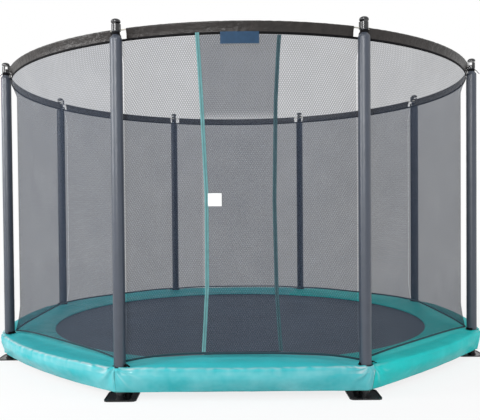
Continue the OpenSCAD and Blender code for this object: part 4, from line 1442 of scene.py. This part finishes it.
class TRAMPOLINE_OT_stage(bpy.types.Operator):
    """Set out the pale floor, the soft lamps, the sky and the camera"""
    bl_idname = "trampoline.add_stage"
    bl_label = "Stage"

    def execute(self, context):
        add_camera(context.scene)
        add_floor()
        add_sky(context.scene)
        for lamp in LAMPS:
            add_lamp(*lamp)
        context.scene.view_settings.view_transform = "Standard"
        return {"FINISHED"}


def add_camera(scene):
    ahead = Vector((math.sin(CAMERA_TURN) * math.cos(CAMERA_TILT), math.cos(CAMERA_TURN) * math.cos(CAMERA_TILT),
                    math.sin(CAMERA_TILT)))
    level = Vector((math.cos(CAMERA_TURN), -math.sin(CAMERA_TURN), 0))
    above = level.cross(ahead)
    right = level * math.cos(CAMERA_ROLL) + above * math.sin(CAMERA_ROLL)
    up = above * math.cos(CAMERA_ROLL) - level * math.sin(CAMERA_ROLL)
    data = bpy.data.cameras.new("camera")
    data.sensor_fit = "HORIZONTAL"
    data.sensor_width = 36
    data.lens = CAMERA_LENS
    data.shift_x, data.shift_y = CAMERA_SHIFT
    camera = placed("camera", data)
    camera.matrix_world = Matrix.Translation(CAMERA_PLACE) @ Matrix((right, up, -ahead)).transposed().to_4x4()
    scene.camera = camera


def straight_rays(tree):
    """1 on rays that show the surroundings themselves: to the camera, in a mirror or through glass."""
    path = node(tree, "LightPath").outputs
    seen = node(tree, "Math", {0: path["Is Camera Ray"], 1: path["Is Glossy Ray"]}, operation="MAXIMUM")
    return node(tree, "Math", {0: seen, 1: path["Is Transmission Ray"]}, operation="MAXIMUM")


def add_floor():
    """Pale floor that goes over into the white surroundings with distance, and still takes soft shadows."""
    material, tree = new_material("painted_studio_floor")
    paint = node(tree, "BsdfPrincipled", {
        "Base Color": mottled(tree, soft_noise(tree, 0.6), linear("F2F2F2"), 1, 1.038), "Roughness": 0.9,
        "Specular IOR Level": 0.1})
    glow = node(tree, "Emission", {"Color": (1, 1, 1, 1), "Strength": 1.0})
    place = node(tree, "TexCoord").outputs["Object"]
    away = node(tree, "VectorMath", {0: place}, operation="LENGTH").outputs["Value"]
    fade = node(tree, "MapRange", {
        "Value": away, "From Min": FADE_FROM, "From Max": FADE_TO, "To Min": FADE_SHARE, "To Max": 1.0})
    seen = node(tree, "Math", {0: straight_rays(tree), 1: fade}, operation="MULTIPLY")
    node(tree, "OutputMaterial", {"Surface": node(tree, "MixShader", {0: seen, 1: paint, 2: glow})})
    mesh = bpy.data.meshes.new("studio_floor")
    reach = FLOOR_REACH
    mesh.from_pydata([(-reach, -reach, 0), (reach, -reach, 0), (reach, reach, 0), (-reach, reach, 0)], [],
                     [(0, 1, 2, 3)])
    mesh.materials.append(material)
    floor = placed("studio_floor", mesh)
    floor.location.z = -mm(0.5)


def add_sky(scene):
    world = bpy.data.worlds.new("studio_sky")
    world.use_nodes = True
    tree = world.node_tree
    tree.nodes.clear()
    light = node(tree, "Background", {"Color": rgba(linear("F4F7FF")), "Strength": SKY_STRENGTH})
    white = node(tree, "Background", {"Color": (1, 1, 1, 1), "Strength": 1.0})
    node(tree, "OutputWorld", {"Surface": node(tree, "MixShader", {0: straight_rays(tree), 1: light, 2: white})})
    scene.world = world


def add_lamp(name, place, width, watts, mirrored):
    data = bpy.data.lights.new(name, "AREA")
    data.shape = "DISK"
    data.size = width
    data.energy = watts
    lamp = placed(name, data)
    lamp.location = place
    lamp.visible_glossy = mirrored
    lamp.rotation_euler = (LAMP_TARGET - Vector(place)).to_track_quat("-Z", "Y").to_euler()


# ---------------------------------------------------------------- add-on


OPERATORS = (
    TRAMPOLINE_OT_stage, TRAMPOLINE_OT_steel, TRAMPOLINE_OT_mat, TRAMPOLINE_OT_springs, TRAMPOLINE_OT_pad,
    TRAMPOLINE_OT_poles, TRAMPOLINE_OT_caps, TRAMPOLINE_OT_ring, TRAMPOLINE_OT_net, TRAMPOLINE_OT_labels,
)


class TRAMPOLINE_PT_panel(bpy.types.Panel):
    """Lists the trampoline's pieces and settings"""
    bl_idname = "TRAMPOLINE_PT_panel"
    bl_label = "Trampoline"
    bl_space_type = "VIEW_3D"
    bl_region_type = "UI"
    bl_category = "Trampoline"

    def draw(self, context):
        for group in (context.scene.trampoline_sizes, context.scene.trampoline_colours):
            for name in group.__annotations__:
                self.layout.prop(group, name)
        for operator in OPERATORS:
            self.layout.operator(operator.bl_idname)


CLASSES = (TrampolineColours, TrampolineSizes, *OPERATORS, TRAMPOLINE_PT_panel)


def register():
    for made in CLASSES:
        bpy.utils.register_class(made)
    bpy.types.Scene.trampoline_colours = PointerProperty(type=TrampolineColours)
    bpy.types.Scene.trampoline_sizes = PointerProperty(type=TrampolineSizes)


def unregister():
    del bpy.types.Scene.trampoline_sizes
    del bpy.types.Scene.trampoline_colours
    for made in reversed(CLASSES):
        bpy.utils.unregister_class(made)


def main():
    register()
    for operator in OPERATORS:
        group, name = operator.bl_idname.split(".")
        getattr(getattr(bpy.ops, group), name)()


if __name__ == "__main__":
    main()
